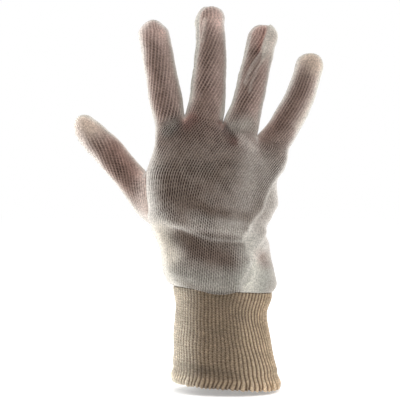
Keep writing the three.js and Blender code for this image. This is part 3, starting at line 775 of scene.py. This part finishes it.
def panel_fields(skin, colours):
    """Tone and stretch of the cloth at each point."""
    points, normals, seam_away = skin.plain, skin.plain_normals, skin.seam_away
    front = skin.side < 0
    look = {name: np.where(front, *values) for name, values in PANEL_LOOK.items()}
    facing = np.where(front, np.maximum(-normals[:, 1], 0), np.abs(normals[:, 1]))
    behind = smoothstep(normals[:, 1], *BEHIND)
    # The cloth darkens the more it faces straight out: partly thin cloth and partly painted shade, so the
    # rims that turn away stay pale as painted rim light.
    shade = look["shade"] * smoothstep(facing, *SHADED)
    stretch = look["stretch"] * smoothstep(facing, *OPENED) + look["stretch_behind"] * behind
    shade, stretch = pulled_digits(skin, normals, facing, shade, stretch)
    # Cloth that faces the back has an even shade, and the rims between the panels are the palest, as painted
    # rim light.
    outward = np.where(front, normals[:, 1], facing)
    plain = EVEN_SHADE * smoothstep(outward, 0, 0.5) + BACK_SHADE * behind
    above = shade * smoothstep(points[:, 2], *BACK_SHADED_FROM)
    shade = np.where(front, np.maximum(shade, plain), plain + above)
    tones = {name: np.array(getattr(colours, name)) for name in CLOTH_TONES}
    # Stretched cloth is warmer on the thumb, the fingers and the knuckles.
    warm = np.where(skin.part == THUMB, 1, smoothstep(points[:, 2], *WARM_FROM))
    tinted = np.where(front, 0.4 * warm, 0) * smoothstep(facing, *TINTED)
    tint = tinted[:, None] * tones["blush"]
    for mark in MARKS:
        weight = mark_weight(mark, points, normals)
        shade += mark.shade * weight
        stretch += mark.stretch * weight
        amount = mark.tinted * weight
        tint += amount[:, None] * tones[mark.tint]
        tinted += amount
    shade = np.clip(shade + 0.05 * wrinkles(points, 24, 3) + 0.03 * wrinkles(points, 9, 4), 0, 1.1)
    # Where the cloth turns away near the seam its shade fades out: more painted rim light.
    shade *= lerp(smoothstep(seam_away, -1.5, 3), 1, smoothstep(facing, 0.35, 0.7))
    edge = hump(seam_away, 0, 1.5) * skin.raised
    shade -= lerp(0.16, 0.4, smoothstep(-points[:, 2], -112, -98)) * edge
    stretch = np.clip(stretch - 0.6 * edge, 0.05, 1.1)
    # The shade, partly painted, blends the cloth from its resting tone to its darkest one.
    base = lerp(tones["cotton"], tones["stretched_and_shaded"], np.clip(shade, 0, 1)[:, None])
    base = base * (1 - np.maximum(shade - 1, 0)[:, None])
    # A tint changes the colour of the cloth and keeps how bright it is.
    mean_tint = tint / np.maximum(tinted, TINY)[:, None]
    bright = base.mean(axis=1, keepdims=True) / np.maximum(mean_tint.mean(axis=1, keepdims=True), TINY)
    tone = lerp(base, mean_tint * bright, np.clip(tinted, 0, 1)[:, None])
    return np.clip(tone, 0.01, 0.95), stretch


def boundary_loop(faces):
    """The open edge of a sheet of faces, as its points in order round it."""
    used = {}
    for face in faces:
        for a, b in zip(face, face[1:] + face[:1]):
            if (b, a) in used:
                del used[(b, a)]
            else:
                used[(a, b)] = True
    after = dict(used.keys())
    start = next(iter(after))
    loop = [start]
    while after[loop[-1]] != start:
        loop.append(after[loop[-1]])
    return loop


def tidy_faces(faces):
    """Quads as lists without repeated corners, and without those that have closed up."""
    kept = []
    for face in faces.tolist():
        corners = [corner for i, corner in enumerate(face) if corner != face[i - 1]]
        if len(set(corners)) == len(corners) and len(corners) > 2:
            kept.append(corners)
    return kept


def add_object(name, points, faces, fields):
    """A mesh object at the origin, in metres, whose points carry a float or a colour for each field."""
    mesh = bpy.data.meshes.new(name)
    mesh.from_pydata((points * MM).tolist(), [], faces)
    for field, values in fields.items():
        if values.ndim == 1:
            mesh.attributes.new(field, "FLOAT", "POINT").data.foreach_set("value", values.astype(np.float32))
        else:
            padded = np.concatenate([values, np.ones((len(values), 1))], axis=1).astype(np.float32)
            mesh.attributes.new(field, "FLOAT_COLOR", "POINT").data.foreach_set("color", padded.ravel())
    mesh.validate()
    made = bpy.data.objects.new(name, mesh)
    bpy.context.collection.objects.link(made)
    mesh.shade_smooth()
    return made


def overhang(points):
    """Lowers the puffed cloth over the knit wrist, most at the middle of the front."""
    x, z = points[:, 0], points[:, 2] - (CUFF_HEIGHT + CUFF_GAP - CUFF_TILT * points[:, 0])
    sag = 3.6 * hump(x, -6, 15) - 2.2 * hump(x, 12, 5) + 1.2
    roll = smoothstep(z, 0.1, 2.2) * (1 - smoothstep(z, 2.2, 14))
    moved = points.copy()
    moved[:, 2] -= np.where(points[:, 1] < 0, sag, 1.6) * roll
    return moved


def skin_normals(points, faces, pairs, seam):
    """Normals of the skin.

    Where the seam turns a corner those of the panels cancel out, so those beside it stand in for them.
    """
    normals = point_normals(points, faces)
    for _ in range(3):
        normals[seam] = unit_rows(normals + 2 * mean_beside(normals, pairs))[seam]
    return normals


def distance_to(points, chosen):
    """Distance of each point from the nearest of the chosen ones."""
    tree = kdtree.KDTree(len(chosen))
    for i, point in enumerate(points[chosen]):
        tree.insert(Vector(point), i)
    tree.balance()
    return np.array([tree.find(Vector(point))[2] for point in points])


@lru_cache(maxsize=1)
def glove_skin(course):
    """The skin of both panels, which the two share."""
    skin = join_grids(make_grids(course))
    first, number = welded(skin.points)
    joined = number[skin.faces]
    shared = skin.points[first]
    front, back = (np.unique(joined[skin.face_side == side]) for side in (-1, 1))
    seam = np.intersect1d(front, back)
    pairs = joined_edges(joined)
    # Cloth turns softly from the hand into a digit.
    root = np.full(len(shared), float(FAR))
    np.minimum.at(root, number, skin.root)
    ease = 0.6 * (1 - smoothstep(root, 2.5, 9))[:, None]
    for _ in range(EASE_ROUNDS):
        shared = shared + ease * (mean_beside(shared, pairs) - shared)
    normals = skin_normals(shared, joined, pairs, seam)
    away = distance_to(shared, seam)
    lift = np.full(len(shared), FUZZ)
    for mark in MARKS:
        lift += mark.height * mark_weight(mark, shared, normals)
    lift += 0.22 * wrinkles(shared, 17, 11) + 0.1 * wrinkles(shared, 7, 5)
    lift = FUZZ + (lift - FUZZ) * smoothstep(away, 0, 3)
    body = nudged(overhang(shared)) + normals * lift[:, None]
    skin.body = body[number]
    skin.normals = skin_normals(body, joined, pairs, seam)[number]
    skin.plain = shared[number]
    skin.plain_normals = normals[number]
    skin.seam_away = away[number]
    # At the right of the hand and wrist the seam's edges stand up instead of rolling in.
    raised = smoothstep(shared[:, 0], 2, 10) * (1 - smoothstep(shared[:, 2], 150, 162))
    skin.raised = raised[number]
    return skin


def make_panel(name, side, sizes, colours, material):
    """One panel: fine outside with its wales, plainer inside, and a rim that joins them."""
    skin = glove_skin(sizes.course_pitch / MM)
    picked = skin.faces[skin.face_side == side]
    raw = np.unique(picked)
    first, number = welded(skin.points[raw])
    source = raw[first]
    renumber = np.zeros(len(skin.points), int)
    renumber[raw] = number
    faces = tidy_faces(renumber[picked])
    coarse = np.zeros(len(source), bool)
    np.logical_or.at(coarse, number, skin.coarse[raw])
    tone, stretch = panel_fields(skin, colours)
    wale, away = skin.wale[source], skin.seam_away[source]
    normals = skin.normals[source]
    body = skin.body[source]
    # Closed cloth keeps a hint of its wales.
    ridge = sizes.wale_depth / MM / 2 * np.cos(2 * math.pi * wale) * smoothstep(away, 0.4, 2)
    ridge *= lerp(0.12, 1, np.clip(stretch[source], 0, 1))
    rolled = -sizes.seam_roll / MM * (1 - smoothstep(away, 0, 2.4)) * (1 - 1.5 * skin.raised[source])
    outer = body + normals * (ridge + rolled)[:, None]
    inner = body[coarse] - normals[coarse] * CLOTH
    inner_of = {int(point): len(source) + i for i, point in enumerate(np.flatnonzero(coarse))}
    inner_grids = [renumber[numbers][::INNER_STEP, ::INNER_STEP] for numbers in skin.numbers[side]]
    inner_quads = np.concatenate([quads_between(grid)[:, ::side] for grid in inner_grids])
    rim = []
    loop = boundary_loop(faces)
    start = next(i for i, point in enumerate(loop) if coarse[point])
    loop = loop[start:] + loop[:start]
    run = [loop[0]]
    for point in loop[1:] + loop[:1]:
        run.append(point)
        if coarse[point]:
            rim.append(run[::-1] + [inner_of[run[0]], inner_of[run[-1]]])
            run = [point]
    faces += [[inner_of[corner] for corner in quad] for quad in tidy_faces(inner_quads)] + rim
    kept = np.concatenate([source, source[coarse]])
    fields = {"wale": skin.wale, "course": skin.course, "stretch": stretch, "tone": tone}
    fields = {field: values[kept] for field, values in fields.items()}
    made = add_object(name, np.concatenate([outer, inner]), faces, fields)
    made.data.materials.append(material)
    return made


# Unevenness in the knits, in cells to a metre. Yarn is thick and thin over 3.8 mm, loops slip over 2.4 mm and
# patches of the cloth have felted over 11 mm. Single fibres of 0.02 mm are too fine to show, so bundles of
# 1.1 mm in the cloth and of 1.4 mm in the ribs stand for them.
YARN_CELLS = 260
LOOP_CELLS = 420
PATCH_CELLS = 90
FIBRE_CELLS = 900
RIB_FIBRE_CELLS = 700


def node(tree, kind, inputs=None, **settings):
    """Adds a node with its settings. An input is a value, a socket, or a node whose first output it takes."""
    made = tree.nodes.new("ShaderNode" + kind)
    for name, value in settings.items():
        setattr(made, name, value)
    for socket, value in (inputs or {}).items():
        if isinstance(value, bpy.types.Node):
            value = value.outputs[0]
        if isinstance(value, bpy.types.NodeSocket):
            tree.links.new(value, made.inputs[socket])
        else:
            made.inputs[socket].default_value = value
    return made


def new_material(name):
    material = bpy.data.materials.new(name)
    material.use_nodes = True
    material.node_tree.nodes.clear()
    return material, material.node_tree


def course_wave(tree, slip, course, across, slant):
    """A wave with one crest to a course, which slants across the knit and slips here and there."""
    row = node(tree, "Math", {0: slip[0], 1: slip[1], 2: course}, operation="MULTIPLY_ADD")
    slanted = node(tree, "Math", {0: across, 1: slant, 2: row}, operation="MULTIPLY_ADD")
    turned = node(tree, "Math", {0: slanted, 1: FULL_TURN}, operation="MULTIPLY")
    return node(tree, "Math", {0: turned}, operation="COSINE")


def finish_knit(tree, gaps, gap_tint, fibre, lift, relief, bump, sheen, sheen_roughness):
    """Cotton yarn with its fibres, the tinted gaps between yarns, and the relief of both."""
    tone = node(tree, "Attribute", attribute_name="tone")
    light = node(tree, "MapRange", {"Value": fibre, **lift})
    yarn = node(tree, "VectorMath", {0: tone, "Scale": light}, operation="SCALE")
    # The gaps and grooves are the tone darkened by their tint: painted shade between the yarns.
    hollow = node(tree, "Mix", {0: 1, 6: tone, 7: (*gap_tint, 1)}, data_type="RGBA", blend_type="MULTIPLY")
    colour = node(tree, "Mix", {0: gaps, 6: yarn, 7: hollow.outputs[2]}, data_type="RGBA")
    height = node(tree, "Math", {**relief, 2: fibre}, operation="MULTIPLY_ADD")
    raised = node(tree, "Bump", {"Strength": bump, "Distance": 0.5 * MM, "Height": height})
    cotton = node(tree, "BsdfPrincipled", {
        "Base Color": colour.outputs[2], "Roughness": 0.95, "Specular IOR Level": 0.15,
        "Sheen Weight": sheen, "Sheen Roughness": sheen_roughness, "Normal": raised,
    })
    node(tree, "OutputMaterial", {0: cotton})


def stockinette(colours):
    """Bleached cotton single jersey, pulled wide: pale wales with dark slanted gaps between them."""
    material, tree = new_material("cotton_stockinette")
    place = node(tree, "TexCoord").outputs["Object"]
    wale, course, stretch = (
        node(tree, "Attribute", attribute_name=name).outputs["Fac"] for name in ("wale", "course", "stretch")
    )
    uneven = node(tree, "TexNoise", {"Vector": place, "Scale": YARN_CELLS, "Detail": 2})
    wobble = node(tree, "Math", {0: uneven, 1: 0.22, 2: -0.11}, operation="MULTIPLY_ADD")
    shifted = node(tree, "Math", {0: wale, 1: wobble}, operation="ADD")
    from_ridge = node(tree, "Math", {0: shifted, 1: 0.5}, operation="PINGPONG")
    groove = node(tree, "MapRange", {"Value": from_ridge, "From Min": 0.05, "From Max": 0.32},
                  interpolation_type="SMOOTHSTEP")
    # The loops of a wale are a row of slanted openings, one for each course.
    loose = node(tree, "TexNoise", {"Vector": place, "Scale": LOOP_CELLS, "Detail": 1})
    wave = course_wave(tree, (loose, 0.9), course, shifted, 0.6)
    closed = node(tree, "MapRange", {"Value": stretch, "From Min": 0.3, "To Min": 0.74, "To Max": 0.36})
    opening = node(tree, "MapRange", {
        "Value": wave, "From Min": -0.95, "From Max": 0.3, "To Min": closed, "To Max": 1.06})
    gap = node(tree, "Math", {0: groove, 1: opening}, operation="MULTIPLY")
    # In places the loops have closed up or filled with fibre, and the gaps hardly show.
    patches = node(tree, "TexNoise", {"Vector": place, "Scale": PATCH_CELLS, "Detail": 3})
    clear = node(tree, "MapRange", {
        "Value": patches, "From Min": 0.38, "From Max": 0.62, "To Min": 0.6, "To Max": 1.06})
    pulled = node(tree, "Math", {0: clear, 1: stretch}, operation="MULTIPLY")
    shown = node(tree, "Math", {0: gap, 1: pulled}, operation="MULTIPLY", use_clamp=True)
    fibre = node(tree, "TexNoise", {"Vector": place, "Scale": FIBRE_CELLS, "Detail": 2, "Roughness": 0.6})
    lift = {"From Min": 0.3, "From Max": 0.7, "To Min": 0.62, "To Max": 1.24}
    finish_knit(tree, shown, colours.gap_shade, fibre, lift, {0: gap, 1: -1}, 0.16, 0.3, 0.55)
    return material


def rib_knit(colours):
    """Unbleached cotton one-by-one rib: plump beige ribs of twisted loops with deep brown grooves."""
    material, tree = new_material("cotton_rib_knit")
    place = node(tree, "TexCoord").outputs["Object"]
    rib, course, slack = (
        node(tree, "Attribute", attribute_name=name).outputs["Fac"] for name in ("rib", "course", "slack")
    )
    from_ridge = node(tree, "Math", {0: rib, 1: 0.5}, operation="PINGPONG")
    groove = node(tree, "MapRange", {"Value": from_ridge, "From Min": 0.14, "From Max": 0.46},
                  interpolation_type="SMOOTHSTEP")
    # Each course is a pair of loops that slant down from the rib's middle to its sides.
    loose = node(tree, "TexNoise", {"Vector": place, "Scale": LOOP_CELLS, "Detail": 2})
    wave = course_wave(tree, (loose, 1.8), course, from_ridge, 1.3)
    loops = node(tree, "Math", {0: wave, 1: 0.5, 2: 0.5}, operation="MULTIPLY_ADD")
    # Slack ribs have shallower grooves, and their loops show.
    shallow = node(tree, "MapRange", {"Value": slack, "To Min": 0.9, "To Max": 0.52})
    deep = node(tree, "Math", {0: groove, 1: shallow}, operation="MULTIPLY")
    dark = node(tree, "MapRange", {
        "Value": wave, "From Min": 0.9, "From Max": -0.9, "To Min": -0.1, "To Max": 0.32})
    stitch = node(tree, "Math", {0: dark, 1: slack}, operation="MULTIPLY")
    between = node(tree, "Math", {0: deep, 1: stitch}, operation="ADD", use_clamp=True)
    fibre = node(tree, "TexNoise", {
        "Vector": place, "Scale": RIB_FIBRE_CELLS, "Detail": 4, "Roughness": 0.75})
    lift = {"From Min": 0.32, "From Max": 0.68, "To Min": 0.52, "To Max": 1.4}
    finish_knit(tree, between, colours.rib_shade, fibre, lift, {0: loops, 1: 0.8}, 0.6, 0.25, 0.6)
    return material


# The knit wrist's ribs: how far they lean at the hem and sway above it, in ribs, and in millimetres how far
# they run aslant, and how far the hem puffs out and draws in above its fold. Each rib is drawn with so many
# steps.
HEM_LEAN = 0.85
SLOW_SWAY = 0.16
QUICK_SWAY = 0.1
SLANT_LENGTH = 3.6
HEM_PUFF = 0.9
HEM_WAIST = 0.8
RIB_STEPS = 6
CUFF_ROWS = 72 // DRAFT


def cuff_profile(rows):
    """The path of the rib cloth up the outside, down the inside and round the folded hem.

    Each step is how far in it is, the share of a rib's depth there and its height.
    """
    drop = CUFF_WALL * 0.45
    outside = [(0, 1, lerp(drop, CUFF_HEIGHT, s)) for s in steps(rows)]
    inside = [(CUFF_WALL, -0.6, lerp(CUFF_HEIGHT, drop, s)) for s in steps(rows // 4)]
    hem = [(CUFF_WALL * 0.72, 0.1, 0.25), (CUFF_WALL * 0.5, 0.45, 0), (CUFF_WALL * 0.2, 0.8, 0.35)]
    return outside + inside + hem


def rib_places(ribs):
    """The share of the way round of each point of each rib. The ribs lie closest at the left front."""
    around = steps(CROWD_STEPS)
    crowd = 1 + 0.2 * hump(around, 0.08, 0.08) + 0.08 * hump(around, 0.45, 0.06)
    count = running_sum((crowd[1:] + crowd[:-1]) / 2, 1)
    places = np.arange(ribs * RIB_STEPS) / (ribs * RIB_STEPS)
    return np.interp(places, count / count[-1], around)


def cuff_row(inset, ribs, height, around, sizes, tones):
    """A row of points round the knit wrist, with how slack its loops are and its tone."""
    up = height / CUFF_HEIGHT
    section = Section(*cuff_sizes(up))
    # The ribs sway a little on their way up, and lean over where they turn under the hem.
    lean = -HEM_LEAN * np.clip(1.6 * np.cos(FULL_TURN * (around.base - 0.1)), -1, 1)
    kink = lean * (1 - smoothstep(height, 0, 7)) + 0.25 * around.lobe * (1 - smoothstep(height, 2, 8))
    sway = SLOW_SWAY * np.sin(FULL_TURN * (1.3 * up + 0.15) + 9 * around.base)
    sway += QUICK_SWAY * np.sin(FULL_TURN * 3.1 * up + 23 * around.base)
    # At the right front the ribs run aslant towards the wide end.
    right_front = smoothstep(around.base, 0.2, 0.42) * (1 - smoothstep(around.base, 0.5, 0.64))
    aslant = -SLANT_LENGTH * right_front * smoothstep(up, 0.1, 0.62)
    arc = section.total * (around.base + (sway + kink) / sizes.rib_count) + aslant
    place = section.at(arc)
    right = smoothstep(place[:, 0], 0, 24)
    depth = sizes.rib_depth / MM * (0.7 + 0.3 * right + 0.9 * hump(height, 0, 6.5))
    inward = inset + ribs * depth * around.valley
    drop = 0
    if ribs > 0:
        # The folded hem is puffed and pulled in above its fold, and each rib ends in a lobe of its own.
        inward -= FUZZ + HEM_PUFF * hump(height, 4, 3) - HEM_WAIST * hump(height, 10, 2.4)
        inward -= 0.3 * np.sin(FULL_TURN * 3 * around.base + 1) * hump(height, 30, 14)
        drop = (0.9 * (1 - around.valley) + 0.3 * around.lobe - 0.3) * (1 - smoothstep(height, 0.5, 5))
    place = place - section.outward(arc) * inward[:, None]
    # The yarn is paler at the left and darker at the middle front: partly slack and flat-pulled yarn, and
    # partly painted light from the left and painted shade at the front.
    left = smoothstep(-place[:, 0], 14, 36)[:, None]
    right = right[:, None]
    # The folded hem is paler, and a band over it at the front is darker: a painted shadow in the drawn-in
    # waist above the hem.
    hem = 1 - smoothstep(height, 5.5, 8.5)
    light = 0.96 + 0.28 * hem - 0.38 * hump(height, 12.5, 4) * hump(place[:, 0], -10, 18)
    tone = lerp(lerp(tones[1], tones[0], left), tones[2], right) * light[:, None]
    points = np.stack([place[:, 0], place[:, 1], height - CUFF_TILT * place[:, 0] - drop], -1)
    return points, (1 - 0.8 * right[:, 0]) * (1 - 0.7 * hem), tone


def make_cuff(sizes, colours, material):
    """The ribbed knit wrist as one closed tube, with puffed ribs that lean over at its folded hem."""
    ribs = sizes.rib_count
    phase = np.arange(ribs * RIB_STEPS) / RIB_STEPS
    lobe = np.random.default_rng(5).uniform(-1, 1, ribs)
    around = SimpleNamespace(
        base=rib_places(ribs), lobe=np.repeat(lobe, RIB_STEPS),
        valley=((1 - np.cos(FULL_TURN * phase)) / 2) ** 0.8,
    )
    tones = [np.array(colour) for colour in (colours.rib_left, colours.rib, colours.rib_right)]
    profile = cuff_profile(CUFF_ROWS)
    rows = [cuff_row(*step, around, sizes, tones) for step in profile]
    points, slack, tone = (np.concatenate(values) for values in zip(*rows))
    number = np.arange(len(points)).reshape(len(profile), -1)
    faces = quads_between(np.pad(number, (0, 1), mode="wrap")).tolist()
    points = nudged(points)
    tone *= (1 + 0.07 * wrinkles(points, 20, 8) + 0.05 * wrinkles(points, 6, 9))[:, None]
    course = np.repeat([height * MM / sizes.rib_course for _, _, height in profile], len(phase))
    rib = np.tile(phase, len(profile))
    fields = {"rib": rib, "course": course, "slack": slack, "tone": np.clip(tone, 0, 0.95)}
    made = add_object("knit_wrist_rib", points, faces, fields)
    made.data.materials.append(material)
    return made


# The lights. A softbox has its side in metres and watts, and the overhead light degrees and a strength.
LIGHTS = (
    ("overhead", "SUN", (0, -0.35, 1.6), 70, 2.1),
    ("left_softbox", "AREA", (-0.9, 0.3, 0.3), 0.9, 11.5),
    ("right_softbox", "AREA", (0.9, 0.45, 0.3), 0.9, 9),
    ("front_fill", "AREA", (-0.3, -1.5, 0.5), 1.2, 1.0),
)
GLOVE_MIDDLE = Vector((-0.0179, 0, 0.1325))
FLOOR_GAP = 0.002  # between the hem and the floor, in metres
FLOOR_SIZE = 8
FLOOR_BACK = 3.4  # how far behind the glove the floor has its middle
LENS = 100
SENSOR = 36
WHITE = (1, 1, 1, 1)


def studio_paper(colours):
    """Matt white paper, which gives a clean pale ground."""
    material, tree = new_material("studio_paper")
    paper = node(tree, "BsdfPrincipled", {
        "Base Color": (*colours.floor, 1), "Roughness": 0.9,
        "Emission Color": WHITE, "Emission Strength": 0.31,
    })
    node(tree, "OutputMaterial", {0: paper})
    return material


def length_property(name, description, default):
    """A length in metres for the panel."""
    return bpy.props.FloatProperty(
        name=name, description=description, default=default, unit="LENGTH", precision=5)


def colour_property(name, description, default):
    """A colour for the panel, typed as sRGB hex and kept in linear light."""
    return bpy.props.FloatVectorProperty(
        name=name, description=description, default=srgb(default), subtype="COLOR", size=3, min=0, max=1)


class GLOVE_PG_sizes(bpy.types.PropertyGroup):
    wale_depth: length_property("Wale depth", "Height of a wale over the groove beside it", 0.0006)
    course_pitch: length_property("Course pitch", "Distance between rows of loops", 0.002)
    seam_roll: length_property("Seam roll", "How far the panels' edges roll in at the seam", 0.0007)
    rib_count: bpy.props.IntProperty(
        name="Ribs", description="Ribs round the knit wrist", default=68, min=20)
    rib_depth: length_property("Rib depth", "Height of a rib over the groove beside it", 0.0011)
    rib_course: length_property("Rib course", "Distance between the loops of a rib", 0.0017)
    camera_distance: length_property("Camera distance", "From the camera to the glove", 0.8)


class GLOVE_PG_colours(bpy.types.PropertyGroup):
    cotton: colour_property("Cotton", "Bleached cotton at rest", "#DCD6CE")
    # The darkest tone of the cloth: partly thin cotton and partly painted shade.
    stretched_and_shaded: colour_property("Stretched", "Cotton pulled thin", "#8A786B")
    blush: colour_property("Blush", "Warm tint of thin cloth", "#B0877B")
    grey: colour_property("Grey", "Cool tint of slack cloth", "#B9B6AC")
    cream: colour_property("Cream", "Yellowish tint of doubled cloth", "#DCCFB4")
    gap_shade: colour_property("Gap shade", "Tint between the wales", "#57443A")
    # The rib tones run from pale at the left to dark at the middle front: partly slack and flat-pulled yarn,
    # and partly painted light from the left and painted shade at the front.
    rib: colour_property("Rib", "Unbleached cotton yarn, pulled flat", "#94816A")
    rib_left: colour_property("Rib, left", "Slack unbleached yarn", "#E4D8C4")
    rib_right: colour_property("Rib, right", "Tan unbleached yarn", "#D0B99C")
    rib_shade: colour_property("Rib shade", "Tint between the ribs", "#6E5A44")
    floor: colour_property("Floor", "Studio paper", "#FAFAFA")


class GLOVE_OT_front_panel(bpy.types.Operator):
    """Makes the front panel of stretched stockinette"""
    bl_idname = "glove.front_panel"
    bl_label = "Front Panel"

    def execute(self, context):
        sizes, colours = context.scene.glove_sizes, context.scene.glove_colours
        made = make_panel("front_panel_cloth", -1, sizes, colours, stockinette(colours))
        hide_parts("front_panel")
        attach(made, "root")
        return {"FINISHED"}


class GLOVE_OT_back_panel(bpy.types.Operator):
    """Makes the back panel of stockinette"""
    bl_idname = "glove.back_panel"
    bl_label = "Back Panel"

    def execute(self, context):
        sizes, colours = context.scene.glove_sizes, context.scene.glove_colours
        cloth = bpy.data.materials.get("cotton_stockinette") or stockinette(colours)
        made = make_panel("back_panel_cloth", 1, sizes, colours, cloth)
        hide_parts("back_panel")
        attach(made, "root")
        return {"FINISHED"}


class GLOVE_OT_knit_wrist(bpy.types.Operator):
    """Makes the ribbed knit wrist with its folded hem"""
    bl_idname = "glove.knit_wrist"
    bl_label = "Knit Wrist"

    def execute(self, context):
        sizes, colours = context.scene.glove_sizes, context.scene.glove_colours
        made = make_cuff(sizes, colours, rib_knit(colours))
        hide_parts("knit_wrist")
        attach(made, "root")
        return {"FINISHED"}


class GLOVE_OT_stage(bpy.types.Operator):
    """Makes the floor, the lights and the camera"""
    bl_idname = "glove.stage"
    bl_label = "Stage"

    def execute(self, context):
        sizes, colours = context.scene.glove_sizes, context.scene.glove_colours
        bpy.ops.object.select_all(action="DESELECT")
        place = (0, FLOOR_BACK, CAD_BOX[0][2] - FLOOR_GAP)
        bpy.ops.mesh.primitive_plane_add(size=FLOOR_SIZE, location=place)
        floor = context.object
        floor.name = "studio_floor"
        bpy.ops.object.transform_apply(location=True, rotation=True, scale=True)
        floor.data.materials.append(studio_paper(colours))
        for name, kind, place, size, power in LIGHTS:
            light = bpy.data.lights.new(name, kind)
            if kind == "SUN":
                light.angle = math.radians(size)
            else:
                light.shape = "SQUARE"
                light.size = size
            light.energy = power
            lamp = bpy.data.objects.new(name, light)
            lamp.location = place
            lamp.rotation_euler = (GLOVE_MIDDLE - Vector(place)).to_track_quat("-Z", "Y").to_euler()
            context.collection.objects.link(lamp)
        world = bpy.data.worlds.new("studio")
        context.scene.world = world
        world.use_nodes = True
        tree = world.node_tree
        tree.nodes.clear()
        seen = node(tree, "LightPath").outputs["Is Camera Ray"]
        glow = node(tree, "Background", {"Color": WHITE, "Strength": 0.12})
        paper = node(tree, "Background", {"Color": WHITE, "Strength": 1})
        mixed = node(tree, "MixShader", {0: seen, 1: glow, 2: paper})
        node(tree, "OutputWorld", {0: mixed})
        camera = bpy.data.cameras.new("camera")
        camera.lens = LENS
        camera.sensor_width = SENSOR
        seat = bpy.data.objects.new("camera", camera)
        seat.location = GLOVE_MIDDLE - Vector((0, sizes.camera_distance, 0))
        seat.rotation_euler = (math.pi / 2, 0, 0)
        context.collection.objects.link(seat)
        context.scene.camera = seat
        context.scene.view_settings.view_transform = "Standard"
        return {"FINISHED"}


OPERATORS = (GLOVE_OT_front_panel, GLOVE_OT_back_panel, GLOVE_OT_knit_wrist, GLOVE_OT_stage)


class GLOVE_PT_panel(bpy.types.Panel):
    """Lists the glove's pieces"""
    bl_idname = "GLOVE_PT_panel"
    bl_label = "Cotton Work Glove"
    bl_space_type = "VIEW_3D"
    bl_region_type = "UI"
    bl_category = "Glove"

    def draw(self, context):
        for operator in OPERATORS:
            self.layout.operator(operator.bl_idname)
        for group in (context.scene.glove_sizes, context.scene.glove_colours):
            for name in group.__annotations__:
                self.layout.prop(group, name)


CLASSES = (GLOVE_PG_sizes, GLOVE_PG_colours, *OPERATORS, GLOVE_PT_panel)


def register():
    for one in CLASSES:
        bpy.utils.register_class(one)
    bpy.types.Scene.glove_sizes = bpy.props.PointerProperty(type=GLOVE_PG_sizes)
    bpy.types.Scene.glove_colours = bpy.props.PointerProperty(type=GLOVE_PG_colours)


def unregister():
    del bpy.types.Scene.glove_colours
    del bpy.types.Scene.glove_sizes
    for one in reversed(CLASSES):
        bpy.utils.unregister_class(one)


def main():
    register()
    bpy.ops.glove.front_panel()
    bpy.ops.glove.back_panel()
    bpy.ops.glove.knit_wrist()
    bpy.ops.glove.stage()


if __name__ == "__main__":
    main()
